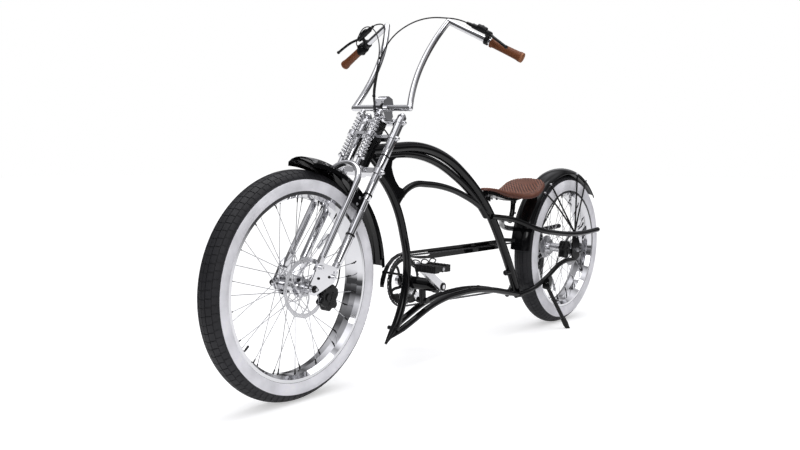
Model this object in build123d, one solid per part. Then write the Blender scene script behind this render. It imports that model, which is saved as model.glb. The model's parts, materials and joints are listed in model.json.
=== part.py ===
from build123d import *
import math
import os

os.makedirs("parts", exist_ok=True)

# All sizes are in millimetres and degrees.
# Everything is drawn upright: x forward from the rear axle, y to the rider's left, z up from the ground.
# At the end the whole machine leans on its side stand and is set on the centre of its bounding box.

# main sizes
WHEELBASE = 1839.3
LEAN = 1.83
RAKE = 33.5
AXLE_AHEAD = 69.0

# fits
SEAT = 0.1
RUNNING = 0.05
GAP = 0.3

# wheels: rim flange, whitewall and tread sizes
FRONT = dict(outer=386.7, half=48.9, flange=317.0, flange_y=42.2, white=355.6, white_y=47.3)
REAR = dict(outer=365.4, half=51.2, flange=285.4, flange_y=47.4, white=336.5, white_y=45.8)
RIM_SEAT = 8.0
FLANGE_WALL = 2.8
WHITE_THICK = 1.2
SPOKES = 36
SPOKE_R = 1.3
AXLE_R = 5.0

# fork
LEG_Y = 80.0
LEG_R = 12.7
REAR_LEG = (112.0, 734.0)
FRONT_LEG_T = 72.0
FRONT_LEG_Y = 74.0
FRONT_LEG_R = 11.5
FRONT_LEG_LOW = 112.0
BOW_CENTRE = 410.0
ROD_Y = 40.0
ROD_R = 5.0
ROD_TOP = 706.0
COIL_R = 13.6
WIRE_R = 2.1
STEERER_R = 12.7
HEAD_R = 19.0
HEAD = (511.0, 629.0)
LOWER_CROWN = (484.0, 506.0)
UPPER_CROWN = (632.0, 646.0)
PERCH = (600.0, 612.0)
TOP_CROWN = (700.0, 713.0)
ROCKER_Y = (80.0, 87.0)
ROTOR_Y = 57.0
ROTOR_R = 101.5

# handlebar
BAR_R = 11.1
KNUCKLE_R = 11.5
BAR_T = 35.0
BAR_S = 747.0
BAR_CORNER = (130.0, 992.0)
BAR_TOP = (1198.0, 146.0, 1316.0)
BAR_BOW = (1294.0, 103.5, 1160.0)
GRIP_END = (1129.0, 421.0, 1180.0)
GRIP_LENGTH = 130.0
GRIP_R = 16.0

# frame tubes, side view corner points joined by tangent arcs
TOP_R = 20.0
TOP_ARCH = [(1452, 838), (1056, 863), (703, 650), (490, 380), (383, 190)]
UNDER_R = 14.0
UNDER_ARCH = [(1440, 815), (1118, 834), (775, 662), (672, 560)]
MIDDLE_R = 13.0
MIDDLE_ARCH = [(1262, 640), (1264, 694), (968, 696), (728, 613), (640, 556)]
FRONT_R = 16.0
FRONT_ARCH = [(1478, 812), (1298, 665), (1211, 405), (1283, 155), (1335, 118)]
LOWER_R = 12.5
LOWER_Y = 25.0
LOWER_TUBE = [(1335, 132), (1294, 168), (1035, 250), (719, 253), (394, 182)]
TAIL_R = 12.0
TAIL_TUBE = [(650, 16, 556), (480, 31, 537), (365, 106, 481), (39, 113, 440), (-208, 109, 452)]
STAY_R = 11.0
STAY_TUBE = [(430, 22, 180), (330, 56, 203), (255, 87, 256), (150, 99, 320), (25, 100, 320)]
GUSSET_HALF = 12.0
GUSSET = [
    (1462, 842), (1300, 842), (1262, 812), (1319, 810), (1341, 799), (1345, 776), (1336, 752),
    (1320, 725), (1296, 701), (1270, 692), (1262, 660), (1300, 660), (1380, 722), (1484, 812),
]

# crank
BB = (1120.0, 312.0)
BB_R = 24.0
BB_HALF = 60.0
CUP_R = 28.0
CUP_OUT = 74.0
CRANK_AXLE_R = 12.0
CRANK_ARM = 175.0
CRANK_ANGLE = 33.0
LEFT_ARM = (84.0, 102.0)
RIGHT_ARM = (-124.0, -108.0)
RING_R = 97.0
RING_Y = (-91.5, -88.5)
CHAIN_Y = (-93.5, -86.5)
CHAIN_IN = 99.0
CHAIN_THICK = 6.5
GUARD_Y = (-102.5, -100.0)
PEDAL_AXLE_R = 6.5
PEDAL_LONG = 96.0
PEDAL_WIDE = 92.0
PEDAL_THICK = 26.0

# rear end
HUB_HALF = 95.0
DROPOUT_Y = (96.0, 102.0)
REAR_ROTOR_Y = 75.0
REAR_ROTOR_R = 80.0
SPROCKETS = [(-90.0, 28.0), (-85.0, 33.0), (-80.0, 38.0), (-75.0, 44.0), (-70.0, 50.0), (-65.0, 57.0)]
LOW_JOCKEY = (22.0, 190.0)
HIGH_JOCKEY = (-4.0, 290.0)
JOCKEY_R = 22.0

# fenders: crown radius, half width, skirt radius, first and last angle from straight ahead
FENDERS = dict(
    front=dict(crown=430.0, half=59.0, skirt=396.0, start=94.0, end=176.0),
    rear=dict(crown=392.0, half=64.0, skirt=352.0, start=4.0, end=139.0),
)
FENDER_SHEET = 2.2

# side stand
STAND_PIVOT = (262.0, 92.0, 214.0)
STAND_FOOT = (141.0, 143.0, 9.0)
STAND_R = 9.0

SIDES = (("left", 1), ("right", -1))
FRONT_C = (WHEELBASE, 0, FRONT["outer"])
REAR_C = (0, 0, REAR["outer"])
U = (-math.sin(math.radians(RAKE)), 0, math.cos(math.radians(RAKE)))
N = (math.cos(math.radians(RAKE)), 0, math.sin(math.radians(RAKE)))
FORK_FOOT = (FRONT_C[0] - AXLE_AHEAD * N[0], 0, FRONT_C[2] - AXLE_AHEAD * N[2])
FORK = Plane(origin=FORK_FOOT, x_dir=N, z_dir=U)

nodes = {}


def fork(t, y, s):
    """Point at t ahead of the steering axis, y to the left and s up the axis."""
    return FORK.from_local_coords(Vector(t, y, s))


def bend(points):
    """Wire of straight lines and tangent arcs, the arcs as large as the corner points let them be."""
    pts = [Vector(*p) for p in points]
    edges = []
    last = pts[0]
    for i in range(1, len(pts) - 1):
        a = pts[i] - pts[i - 1]
        b = pts[i + 1] - pts[i]
        cut = min(a.length * (0.97 if i == 1 else 0.49), b.length * (0.97 if i == len(pts) - 2 else 0.49))
        u, v = a.normalized(), b.normalized()
        half = math.acos(max(-1, min(1, u.dot(v)))) / 2
        radius = cut / math.tan(half)
        first, final = pts[i] - u * cut, pts[i] + v * cut
        middle = pts[i] + (v - u).normalized() * (radius / math.cos(half) - radius)
        edges.append(Edge.make_line(last, first))
        edges.append(Edge.make_three_point_arc(first, middle, final))
        last = final
    edges.append(Edge.make_line(last, pts[-1]))
    return Wire(edges)


def rod(points, radius):
    """Round bar along a bent path."""
    path = bend(points) if len(points) > 2 else Wire([Edge.make_line(Vector(*points[0]), Vector(*points[1]))])
    start = path.position_at(0)
    face = Plane(origin=start, z_dir=path.tangent_at(0)) * Circle(radius)
    return sweep(face, path=path)


def bar(p, q, radius):
    """Straight round bar between two points."""
    p, q = Vector(*p), Vector(*q)
    place = Plane(origin=p, z_dir=q - p)
    return place * Cylinder(radius, (q - p).length, align=(Align.CENTER, Align.CENTER, Align.MIN))


def across(x, z, y0, y1, radius):
    """Round bar lying across the machine."""
    return bar((x, y0, z), (x, y1, z), radius)


def side(points, y=0):
    """Side view points set at one distance across."""
    return [(x, y, z) for x, z in points]


def plate(points, y0, y1):
    """Flat plate from a side view outline."""
    outline = Wire.make_polygon([Vector(x, y0, z) for x, z in points], close=True)
    return extrude(Face(outline), amount=y1 - y0, dir=(0, 1, 0))


def fork_plate(points, y0, y1):
    """Flat plate from an outline in the fork's own side view."""
    outline = Wire.make_polygon([fork(t, y0, s) for t, s in points], close=True)
    return extrude(Face(outline), amount=y1 - y0, dir=(0, 1, 0))


def fork_drum(t, y, s0, s1, radius):
    """Round post along the fork."""
    return bar(fork(t, y, s0), fork(t, y, s1), radius)


def mirror_y(shape):
    return mirror(shape, about=Plane.XZ)


def both(shape):
    return Compound(children=[s for part in (shape, mirror_y(shape)) for s in part.solids()])


def biggest(shape):
    return max(shape.solids(), key=lambda s: s.volume)


def turned(edges):
    """Solid of revolution about the wheel's own axis."""
    return revolve(make_face(edges), axis=Axis.Y)


def wheel_parts(size):
    """Tyre, whitewalls and rim about the origin."""
    seat = size["flange"] - RIM_SEAT
    wall = size["flange_y"] - FLANGE_WALL - GAP
    low, lip = size["flange"] + 0.6, size["flange_y"] + 0.4
    mid = ((size["flange"] + size["white"]) / 2, size["half"])
    white = (size["white"], size["white_y"])
    lines = [
        Line((seat, -wall), (seat, wall)), Line((seat, wall), (low, wall)), Line((low, wall), (low, lip)),
        ThreePointArc((low, lip), mid, white),
        ThreePointArc(white, (size["outer"], 0), (white[0], -white[1])),
        ThreePointArc((white[0], -white[1]), (mid[0], -mid[1]), (low, -lip)),
        Line((low, -lip), (low, -wall)), Line((low, -wall), (seat, -wall)),
    ]
    tyre = turned(lines)
    out = WHITE_THICK
    band = turned([
        ThreePointArc((low, lip), mid, white), Line(white, (white[0], white[1] + out)),
        ThreePointArc((white[0], white[1] + out), (mid[0], mid[1] + out), (low, lip + out)),
        Line((low, lip + out), (low, lip)),
    ])
    fy, fr = size["flange_y"], size["flange"]
    rim = turned(Polyline(
        (fr, fy), (fr, fy - FLANGE_WALL), (seat, fy - FLANGE_WALL), (seat, FLANGE_WALL - fy),
        (fr, FLANGE_WALL - fy), (fr, -fy), (seat - 3, -fy), (seat - 14, -fy * 0.6), (seat - 16, 0),
        (seat - 14, fy * 0.6), (seat - 3, fy), close=True))
    return tyre, both(band), rim


def spokes(size, flanges, hub_r):
    """Crossed spokes, each its own bar from a hub flange to the rim."""
    rim_r = size["flange"] - RIM_SEAT - 16 + 0.5
    bars = []
    for i in range(SPOKES):
        hand = 1 if i % 2 else -1
        outer = 1 if (i // 2) % 2 else -1
        a = math.radians(360 / SPOKES * i)
        lead = math.radians(58) * outer
        y = flanges[0] if hand > 0 else flanges[1]
        rim_y = hand * 14.0
        drop = (abs(y) - 14.0) / (rim_r - hub_r) * 11.0 if outer > 0 else 0
        y += hand * outer * (2.0 + SPOKE_R + GAP + drop)
        start = (hub_r * math.cos(a + lead), y, hub_r * math.sin(a + lead))
        end = (rim_r * math.cos(a), rim_y, rim_r * math.sin(a))
        bars.append(bar(start, end, SPOKE_R))
    return Compound(children=[s for b in bars for s in b.solids()])


def disc(y0, y1, outer, inner):
    return across(0, 0, y0, y1, outer) - across(0, 0, y0 - 1, y1 + 1, inner)


def rotor(y, outer, arms, inner):
    """Brake disc with slanted arms."""
    ring = disc(y - 1, y + 1, outer, outer - 15)
    ring += disc(y - 1, y + 1, inner + 10, inner)
    for i in range(arms):
        a = math.radians(360 / arms * i)
        b = a + math.radians(38)
        pts = []
        for r, ang in ((inner + 7, a - 0.16), (outer - 12, b - 0.05), (outer - 12, b + 0.05), (inner + 7, a + 0.16)):
            pts.append((r * math.cos(ang), r * math.sin(ang)))
        ring += plate(pts, y - 1, y + 1)
    return ring


def fender(size):
    """Arched sheet over a wheel, drawn about the axle."""
    c, h, k, t = size["crown"], size["half"], size["skirt"], FENDER_SHEET
    section = Polyline(
        (c, 0), (c - 2, h * 0.4), (c - 9, h * 0.75), (c - 20, h), (k, h), (k, h - t), (c - 20 - t, h - t),
        (c - 9 - t, h * 0.75 - t * 0.7), (c - 2 - t, h * 0.4), (c - t, 0), (c - 2 - t, -h * 0.4),
        (c - 9 - t, -h * 0.75 + t * 0.7), (c - 20 - t, t - h), (k, t - h), (k, -h), (c - 20, -h),
        (c - 9, -h * 0.75), (c - 2, -h * 0.4), close=True)
    face = make_face(section).face().rotate(Axis.Y, -size["start"])
    return revolve(face, axis=Axis.Y, revolution_arc=-(size["end"] - size["start"]))


def at(centre, shape):
    return Pos(*centre) * shape


# wheels
tyre, white, rim = wheel_parts(FRONT)
nodes["front_tyre"] = at(FRONT_C, tyre)
nodes["front_whitewalls"] = at(FRONT_C, white)
nodes["front_rim"] = at(FRONT_C, rim)
nodes["front_spokes"] = at(FRONT_C, spokes(FRONT, (30, -42), 30))
hub = across(0, 0, -66, 66, 18) + across(0, 0, 28, 32, 35) + across(0, 0, -44, -40, 35)
hub += across(0, 0, 46, 55.9, 28)
hub -= across(0, 0, -70, 70, AXLE_R + RUNNING)
nodes["front_hub"] = at(FRONT_C, hub)
nodes["front_brake_disc"] = at(FRONT_C, rotor(ROTOR_Y, ROTOR_R, 6, 18.1))

tyre, white, rim = wheel_parts(REAR)
nodes["rear_tyre"] = at(REAR_C, tyre)
nodes["rear_whitewalls"] = at(REAR_C, white)
nodes["rear_rim"] = at(REAR_C, rim)
nodes["rear_spokes"] = at(REAR_C, spokes(REAR, (46, -46), 34))
hub = across(0, 0, -91.5, 91, 21) + across(0, 0, 44, 48, 39) + across(0, 0, -48, -44, 39)
hub += across(0, 0, 62, REAR_ROTOR_Y - 1.1, 28)
hub -= across(0, 0, -100, 100, AXLE_R + RUNNING)
nodes["rear_hub"] = at(REAR_C, hub)
nodes["rear_brake_disc"] = at(REAR_C, rotor(REAR_ROTOR_Y, REAR_ROTOR_R, 5, 21.1))
stack = across(0, 0, -91, -62, 25)
for y, r in SPROCKETS:
    stack += across(0, 0, y - 1, y + 1, r)
stack -= across(0, 0, -100, -50, 21 + SEAT)
nodes["rear_sprockets"] = at(REAR_C, stack)

# fork: steerer and crowns
legs_at = [(0, LEG_Y), (0, -LEG_Y)]


def crown(s0, s1, centre_r, boss_r):
    thick = 26.0
    body = FORK * Pos(0, 0, (s0 + s1) / 2) * Box(thick, 2 * LEG_Y, s1 - s0)
    body += fork_drum(0, 0, s0, s1, centre_r)
    for t, y in legs_at:
        body += fork_drum(t, y, s0, s1, boss_r)
    for t, y in legs_at:
        body -= fork_drum(t, y, s0 - 1, s1 + 1, LEG_R + SEAT)
    return body


nodes["fork_lower_crown"] = crown(*LOWER_CROWN, 25, 19) + fork_drum(0, 0, 500, TOP_CROWN[1], STEERER_R)
upper = crown(*UPPER_CROWN, 24, 19)
arm = [(8, 646), (20, 646), (66, 614), (84, 612), (84, 600), (60, 600), (24, 632), (8, 632)]
upper += fork_plate(arm, -20, 20)
upper += FORK * Pos(FRONT_LEG_T, 0, (PERCH[0] + PERCH[1]) / 2) * Box(20, 2 * ROD_Y, PERCH[1] - PERCH[0])
for _, hand in SIDES:
    upper += fork_drum(FRONT_LEG_T, hand * ROD_Y, *PERCH, 17.5)
for _, hand in SIDES:
    upper -= fork_drum(FRONT_LEG_T, hand * ROD_Y, PERCH[0] - 1, PERCH[1] + 1, ROD_R + 1.0)
upper -= fork_drum(0, 0, 600, 660, STEERER_R + SEAT)
nodes["fork_upper_crown"] = upper
nodes["fork_top_clamp"] = crown(*TOP_CROWN, 20, 18) - fork_drum(0, 0, 690, 720, STEERER_R + SEAT)

# fork: legs, springs and rockers
leg = fork_drum(0, LEG_Y, *REAR_LEG, LEG_R)
leg += fork_plate([(-10, 62), (10, 62), (10, 126), (-10, 126)], 69, 79.7)
nodes["fork_rear_legs"] = both(leg)
legs = rod([fork(FRONT_LEG_T, FRONT_LEG_Y, s) for s in (FRONT_LEG_LOW, BOW_CENTRE)], FRONT_LEG_R)
bow = Wire([Edge.make_three_point_arc(
    fork(FRONT_LEG_T, FRONT_LEG_Y, BOW_CENTRE), fork(FRONT_LEG_T, 0, BOW_CENTRE + FRONT_LEG_Y),
    fork(FRONT_LEG_T, -FRONT_LEG_Y, BOW_CENTRE))])
legs = legs + mirror_y(legs)
legs += sweep(Plane(origin=bow.position_at(0), z_dir=bow.tangent_at(0)) * Circle(FRONT_LEG_R), path=bow)
rod_low = BOW_CENTRE + math.sqrt(FRONT_LEG_Y ** 2 - ROD_Y ** 2)
for _, hand in SIDES:
    legs += fork_drum(FRONT_LEG_T, hand * ROD_Y, rod_low, ROD_TOP, ROD_R)
    legs += fork_drum(FRONT_LEG_T, hand * ROD_Y, 511, 516, 16)
    legs += fork_drum(FRONT_LEG_T, hand * ROD_Y, rod_low, 511, 8)
    legs += fork_drum(FRONT_LEG_T, hand * ROD_Y, 686, 694, 15)
    legs += fork_drum(FRONT_LEG_T, hand * ROD_Y, 694, 706, 9)
    tongue = [(62, 62), (82, 62), (82, 126), (62, 126)]
    low, high = (66, 79.7) if hand > 0 else (-79.7, -66)
    legs += fork_plate(tongue, low, high)
nodes["fork_front_legs"] = legs


def coil(s0, s1, turns):
    """Round wire spring standing on the fork's rod."""
    high = s1 - s0 - 2 * WIRE_R - 2 * GAP
    path = Helix(pitch=high / turns, height=high, radius=COIL_R)
    face = Plane(origin=path @ 0, z_dir=path % 0) * Circle(WIRE_R)
    shape = sweep(face, path=path, is_frenet=True)
    return FORK * Pos(FRONT_LEG_T, ROD_Y, s0 + WIRE_R + GAP) * shape


springs = [both(coil(516, PERCH[0], 6)), both(coil(PERCH[1], 686, 5))]
nodes["fork_springs"] = Compound(children=[s for pair in springs for s in pair.solids()])
rocker = [(88, 66), (80, 94), (8, 112), (-12, 104), (-15, 66), (44, -14), (64, -20), (84, -8)]
plate_l = fork_plate(rocker, *ROCKER_Y)
plate_l -= at(FRONT_C, across(0, 0, 60, 100, AXLE_R + SEAT))
for t, s in ((71, 78), (0, 80)):
    p = fork(t, 0, s)
    plate_l += across(p.X, p.Z, ROCKER_Y[1], ROCKER_Y[1] + 6, 8)
nodes["fork_rockers"] = both(plate_l)
axle = at(FRONT_C, across(0, 0, -108, 108, AXLE_R))
for _, hand in SIDES:
    axle += at(FRONT_C, across(0, 0, hand * 87.3, hand * 96, 10.5))
    axle += at(FRONT_C, across(0, 0, hand * 66.4, hand * 79.7, 9))
nodes["front_axle"] = axle

# handlebar and stem
stem = fork_plate([(-15, 713), (15, 713), (44, 726), (58, 742), (58, 772), (48, 790), (24, 794), (8, 780),
                   (-4, 752), (-15, 744)], -23, 23)
bar_mid = fork(BAR_T, 0, BAR_S)
stem -= across(bar_mid.X, bar_mid.Z, -40, 40, BAR_R + SEAT)
nodes["stem"] = stem
corner = (bar_mid.X, BAR_CORNER[0], bar_mid.Z)
riser = Wire([Edge.make_three_point_arc(corner, BAR_BOW, BAR_TOP)])
top, tip = Vector(*BAR_TOP), Vector(*GRIP_END)
along = (tip - top).normalized()
low_bar = bar((bar_mid.X, -BAR_CORNER[0], bar_mid.Z), corner, BAR_R)
rise = sweep(Plane(origin=riser.position_at(0), z_dir=riser.tangent_at(0)) * Circle(BAR_R), path=riser)
for knuckle in (corner, BAR_TOP):
    rise = rise.fuse(Pos(*knuckle) * Sphere(KNUCKLE_R))
rise = rise.fuse(bar(BAR_TOP, GRIP_END, BAR_R))
nodes["handlebar"] = low_bar.fuse(rise).fuse(mirror_y(rise))
grip_start = tip - along * GRIP_LENGTH
grip = bar(grip_start, tip + along * 4, GRIP_R) - bar(grip_start - along * 5, tip, BAR_R + SEAT)
nodes["grips"] = both(grip)
ahead = (Vector(1, 0, 0) - along * along.X).normalized()
lever = bar(grip_start - along * 34, grip_start - along * 4, 18)
lever += bar(grip_start - along * 20 + ahead * 5, grip_start - along * 26 + ahead * 40, 11)
lever += rod([grip_start - along * 26 + ahead * 38, grip_start + along * 12 + ahead * 46,
              grip_start + along * 66 + ahead * 50], 5)
lever -= bar(grip_start - along * 60, tip, BAR_R + SEAT)
nodes["brake_levers"] = both(lever)

# front fender and brake
nodes["front_fender"] = at(FRONT_C, fender(FENDERS["front"]))
block = fork_plate([(8, 335), (64, 335), (64, 378), (8, 378)], 62, 84)
block -= fork_drum(FRONT_LEG_T, FRONT_LEG_Y, 300, 400, FRONT_LEG_R + SEAT)
block -= fork_drum(0, LEG_Y, 300, 400, LEG_R + SEAT)
nodes["fender_brackets"] = both(block)
stay = bar(fork(40, 60, 360), fork(82, 57, 402), 4)
nodes["front_fender_stays"] = both(biggest(stay - block - nodes["front_fender"]))
caliper = plate([(1698, 352), (1722, 386), (1766, 372), (1778, 330), (1742, 298), (1708, 306)], 42, 76)
caliper -= at(FRONT_C, across(0, 0, ROTOR_Y - 2.5, ROTOR_Y + 2.5, ROTOR_R + 4))
caliper -= at(FRONT_C, across(0, 0, 30, 90, 60))
caliper += plate([(1728, 366), (1762, 362), (1792, 376), (1762, 391), (1736, 391)], 66, ROCKER_Y[0] - GAP)
nodes["front_brake_caliper"] = biggest(caliper)

# frame
head = fork_drum(0, 0, *HEAD, HEAD_R)
head_bore = fork_drum(0, 0, 500, 640, STEERER_R + RUNNING)
nodes["frame_head_tube"] = head - head_bore
top_arch = rod(side(TOP_ARCH), TOP_R) + rod(side(UNDER_ARCH), UNDER_R)
front_arch = rod(side(FRONT_ARCH), FRONT_R)
middle = rod(side(MIDDLE_ARCH), MIDDLE_R)
lower = rod(side(LOWER_TUBE, LOWER_Y), LOWER_R)
lower = lower + mirror_y(lower)
lower += Pos(1338, 0, 129) * Sphere(16)
lower += across(1300, 163, -LOWER_Y, LOWER_Y, 8)
lower += across(405, 185, -LOWER_Y, LOWER_Y, 10)
top_arch = biggest(top_arch - head)
front_arch = biggest(front_arch - head)
gusset = plate(GUSSET, -GUSSET_HALF, GUSSET_HALF) - head - top_arch - front_arch
middle = biggest(middle - top_arch - front_arch - gusset)
lower = biggest(lower - front_arch - top_arch)
nodes["frame_top_arch"] = top_arch
nodes["frame_front_arch"] = front_arch
nodes["frame_gusset"] = biggest(gusset)
nodes["frame_middle_arch"] = middle
nodes["frame_lower_tubes"] = lower
shell = across(*BB, -BB_HALF, BB_HALF, BB_R) + bar((1112, 0, 236), (BB[0], 0, BB[1]), 14)
shell = shell + across(*BB, -CUP_OUT, CUP_OUT, CUP_R - 3)
shell += across(*BB, BB_HALF, CUP_OUT, CUP_R) + across(*BB, -CUP_OUT, -BB_HALF, CUP_R)
shell += across(1112, 245, -LOWER_Y, LOWER_Y, 12)
shell -= across(*BB, -90, 90, CRANK_AXLE_R + RUNNING)
nodes["frame_crank_shell"] = biggest(shell - lower)
tails = rod(TAIL_TUBE, TAIL_R)
tails += Pos(*TAIL_TUBE[-1]) * Sphere(TAIL_R)
tails = biggest(tails - top_arch)
nodes["frame_tail_tubes"] = both(tails)
stay = biggest(rod(STAY_TUBE, STAY_R) - lower - top_arch)
drop = [(36, 446), (0, 450), (-32, 400), (-36, 330), (0, 312), (30, 318), (44, 350), (42, 385)]
dropout = plate(drop, *DROPOUT_Y) - tails - stay
dropout -= at(REAR_C, across(0, 0, 80, 120, AXLE_R + SEAT))
nodes["frame_chain_stays"] = both(stay)
nodes["frame_dropouts"] = both(biggest(dropout))
axle = at(REAR_C, across(0, 0, -122, 122, AXLE_R))
for _, hand in SIDES:
    axle += at(REAR_C, across(0, 0, hand * 102.3, hand * 110, 10.5))
    axle += at(REAR_C, across(0, 0, hand * 91.7, hand * 95.7, 9))
nodes["rear_axle"] = axle

# rear fender and its stays
nodes["rear_fender"] = at(REAR_C, fender(FENDERS["rear"]))
stays = []
for x, y, z in ((329, 68.6, 640), (257, 68.6, 700), (17, 68.6, 727), (-80, 68.6, 715)):
    stays.append(rod([(6, 95, 452), (x * 0.5, 78, 452 + (z - 452) * 0.5), (x, y, z)], 4) - dropout)
nodes["rear_fender_stays"] = both(Compound(children=[s for b in stays for s in b.solids()]))

# saddle and its strut
seat_side = [(705, 690), (640, 684), (560, 668), (480, 657), (410, 668), (350, 700), (305, 722), (300, 712),
             (350, 672), (410, 640), (480, 628), (560, 640), (640, 660), (705, 668)]
plan = [(705, 22), (700, 32), (620, 40), (540, 70), (470, 104), (410, 115), (350, 104), (310, 70), (298, 30)]
outline = [Vector(x, y, 500) for x, y in plan] + [Vector(x, -y, 500) for x, y in reversed(plan)]
prism = extrude(Face(Wire.make_polygon(outline, close=True)), amount=400, dir=(0, 0, 1))
nodes["saddle"] = plate(seat_side, -130, 130) & prism
pan_side = [(690, 667), (640, 659.5), (560, 639.5), (480, 627.5), (420, 634), (420, 625), (480, 616), (560, 628),
            (640, 645), (690, 655)]
pan = plate(pan_side, -30, 30) + plate([(690, 662), (650, 655), (650, 620), (690, 632)], -10, 10)
nodes["saddle_pan"] = biggest(pan - nodes["saddle"] - top_arch)
strut = rod([(446, 0, 622), (440, 0, 560), (470, 0, 520)], 11)
strut += across(470, 530, -40, 40, 9)
for tail in (tails, mirror_y(tails)):
    strut = biggest(strut - tail)
nodes["seat_strut"] = biggest(strut - top_arch - nodes["saddle_pan"])

# crank, ring, pedals
ang = math.radians(CRANK_ANGLE)
dx, dz = CRANK_ARM * math.cos(ang), CRANK_ARM * math.sin(ang)


def crank_arm(y0, y1, hand):
    ex, ez = BB[0] + hand * dx, BB[1] + hand * dz
    nx, nz = -math.sin(ang), math.cos(ang)
    pts = [(BB[0] + nx * 17, BB[1] + nz * 17), (ex + nx * 12, ez + nz * 12),
           (ex - nx * 12, ez - nz * 12), (BB[0] - nx * 17, BB[1] - nz * 17)]
    arm_part = plate(pts, y0, y1) + across(*BB, y0, y1, 19) + across(ex, ez, y0, y1, 14)
    return arm_part, (ex, ez)


left, left_end = crank_arm(*LEFT_ARM, 1)
right, right_end = crank_arm(*RIGHT_ARM, -1)
crank = left + right + across(*BB, RIGHT_ARM[0], LEFT_ARM[1] + 4, CRANK_AXLE_R)
nodes["crankset"] = crank
pin_l = across(*left_end, LEFT_ARM[1] + GAP, LEFT_ARM[1] + 8 + PEDAL_WIDE + 4, PEDAL_AXLE_R)
pin_r = across(*right_end, RIGHT_ARM[0] - GAP, RIGHT_ARM[0] - 8 - PEDAL_WIDE - 4, PEDAL_AXLE_R)
nodes["pedal_pins"] = Compound(children=[pin_l.solids()[0], pin_r.solids()[0]])
ring = disc(RING_Y[0], RING_Y[1], RING_R, 80) + disc(RING_Y[0], RING_Y[1], 26, CRANK_AXLE_R + SEAT)
ring += disc(-107.7, RING_Y[1], 22, CRANK_AXLE_R + SEAT)
for i in range(5):
    a = math.radians(72 * i + 20)
    b = a + 0.5
    pts = [(24 * math.cos(a - 0.25), 24 * math.sin(a - 0.25)), (82 * math.cos(b - 0.09), 82 * math.sin(b - 0.09)),
           (82 * math.cos(b + 0.09), 82 * math.sin(b + 0.09)), (24 * math.cos(a + 0.25), 24 * math.sin(a + 0.25))]
    ring += plate(pts, RING_Y[0], RING_Y[1])
nodes["chainring"] = at((BB[0], 0, BB[1]), ring)


def pedal(end, y0, y1):
    x, z = end
    body = across(x, z, y0, y1, 12)
    mid_y = (y0 + y1) / 2
    for hand in (1, -1):
        body += Pos(x + hand * (PEDAL_LONG / 2 - 13), mid_y, z) * Box(26, abs(y1 - y0), PEDAL_THICK)
    for y in (y0, y1):
        inward = 4 if y < mid_y else -4
        body += Pos(x, y + inward, z) * Box(PEDAL_LONG, 8, PEDAL_THICK - 6)
    return body - across(x, z, y0 - 5, y1 + 5, PEDAL_AXLE_R + RUNNING)


nodes["pedal_left"] = pedal(left_end, LEFT_ARM[1] + 8, LEFT_ARM[1] + 8 + PEDAL_WIDE)
nodes["pedal_right"] = pedal(right_end, RIGHT_ARM[0] - 8 - PEDAL_WIDE, RIGHT_ARM[0] - 8)

# chain, guard and changer


def loop(extra, y0, y1):
    """Outline round the ring, the small sprocket and the low jockey wheel."""
    rounds = [(BB[0], BB[1], CHAIN_IN + extra), (0, REAR_C[2], 30 + extra), (*LOW_JOCKEY, 18 + extra)]
    pts = []
    for x, z, r in rounds:
        pts.append((x, z, r))
    sketch = make_hull([e for x, z, r in pts for e in (Pos(x, z) * Circle(r)).edges()])
    face = Plane(origin=(0, y0, 0), x_dir=(1, 0, 0), z_dir=(0, -1, 0)) * sketch
    return extrude(face, amount=y1 - y0, dir=(0, 1, 0))


nodes["chain"] = loop(CHAIN_THICK, *CHAIN_Y) - loop(0, CHAIN_Y[0] - 5, CHAIN_Y[1] + 5)
guard = []
for a, r in ((0, 147), (10, 143), (20, 138), (35, 131), (54, 124), (73, 118)):
    guard.append((BB[0] + r * math.cos(math.radians(a)), BB[1] + r * math.sin(math.radians(a))))
guard += [(1090, 425), (385, 425), (385, 384), (900, 386), (1060, 402)]
for a, r in ((80, 104), (60, 104), (40, 106), (20, 108), (0, 116), (-8, 118), (-8, 140)):
    guard.append((BB[0] + r * math.cos(math.radians(a)), BB[1] + r * math.sin(math.radians(a))))
sheet = plate(guard, *GUARD_Y)
sheet -= plate([(930, 405), (950, 400), (1080, 408), (1095, 414), (1080, 417), (950, 416)], -120, -80)
slot = []
for a, r in ((12, 136), (24, 131), (38, 125), (52, 120), (52, 111), (38, 114), (24, 118), (12, 123)):
    slot.append((BB[0] + r * math.cos(math.radians(a)), BB[1] + r * math.sin(math.radians(a))))
sheet -= plate(slot, -120, -80)
bracket = plate([(1226, 368), (1240, 368), (1240, 356), (1226, 356)], GUARD_Y[1], -8) - front_arch
sheet += bracket
rear_tab = plate([(494, 424), (514, 424), (514, 413), (494, 413)], GUARD_Y[1], -8) - top_arch
sheet += rear_tab
nodes["chain_guard"] = biggest(sheet)
changer = plate([(-16, 378), (14, 378), (14, 286), (-12, 286), (-18, 330)], -106, -102.3)
changer += plate([(-12, 302), (14, 302), (14, 284), (-12, 284)], -106, -78)
changer += plate([(-12, 300), (14, 300), (34, 190), (10, 182)], -84, -81)
changer += across(*LOW_JOCKEY, -84, -81, 14) + across(*LOW_JOCKEY, -92, -81, 5)
changer -= at(REAR_C, across(0, 0, -120, -90, 11))
nodes["gear_changer"] = biggest(changer)
jockey = across(*LOW_JOCKEY, -92, -88, 17) - across(*LOW_JOCKEY, -93, -80, 5 + SEAT)
nodes["jockey_wheel"] = jockey
rear_caliper = plate([(44, 410), (96, 412), (112, 380), (104, 334), (60, 332), (44, 350)], 60, 92)
rear_caliper -= at(REAR_C, across(0, 0, REAR_ROTOR_Y - 2.5, REAR_ROTOR_Y + 2.5, REAR_ROTOR_R + 3))
rear_caliper -= at(REAR_C, across(0, 0, 50, 100, 50))
rear_caliper += plate([(30, 350), (70, 350), (70, 370), (30, 370)], 88, 95.7)
nodes["rear_brake_caliper"] = biggest(rear_caliper)

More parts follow.
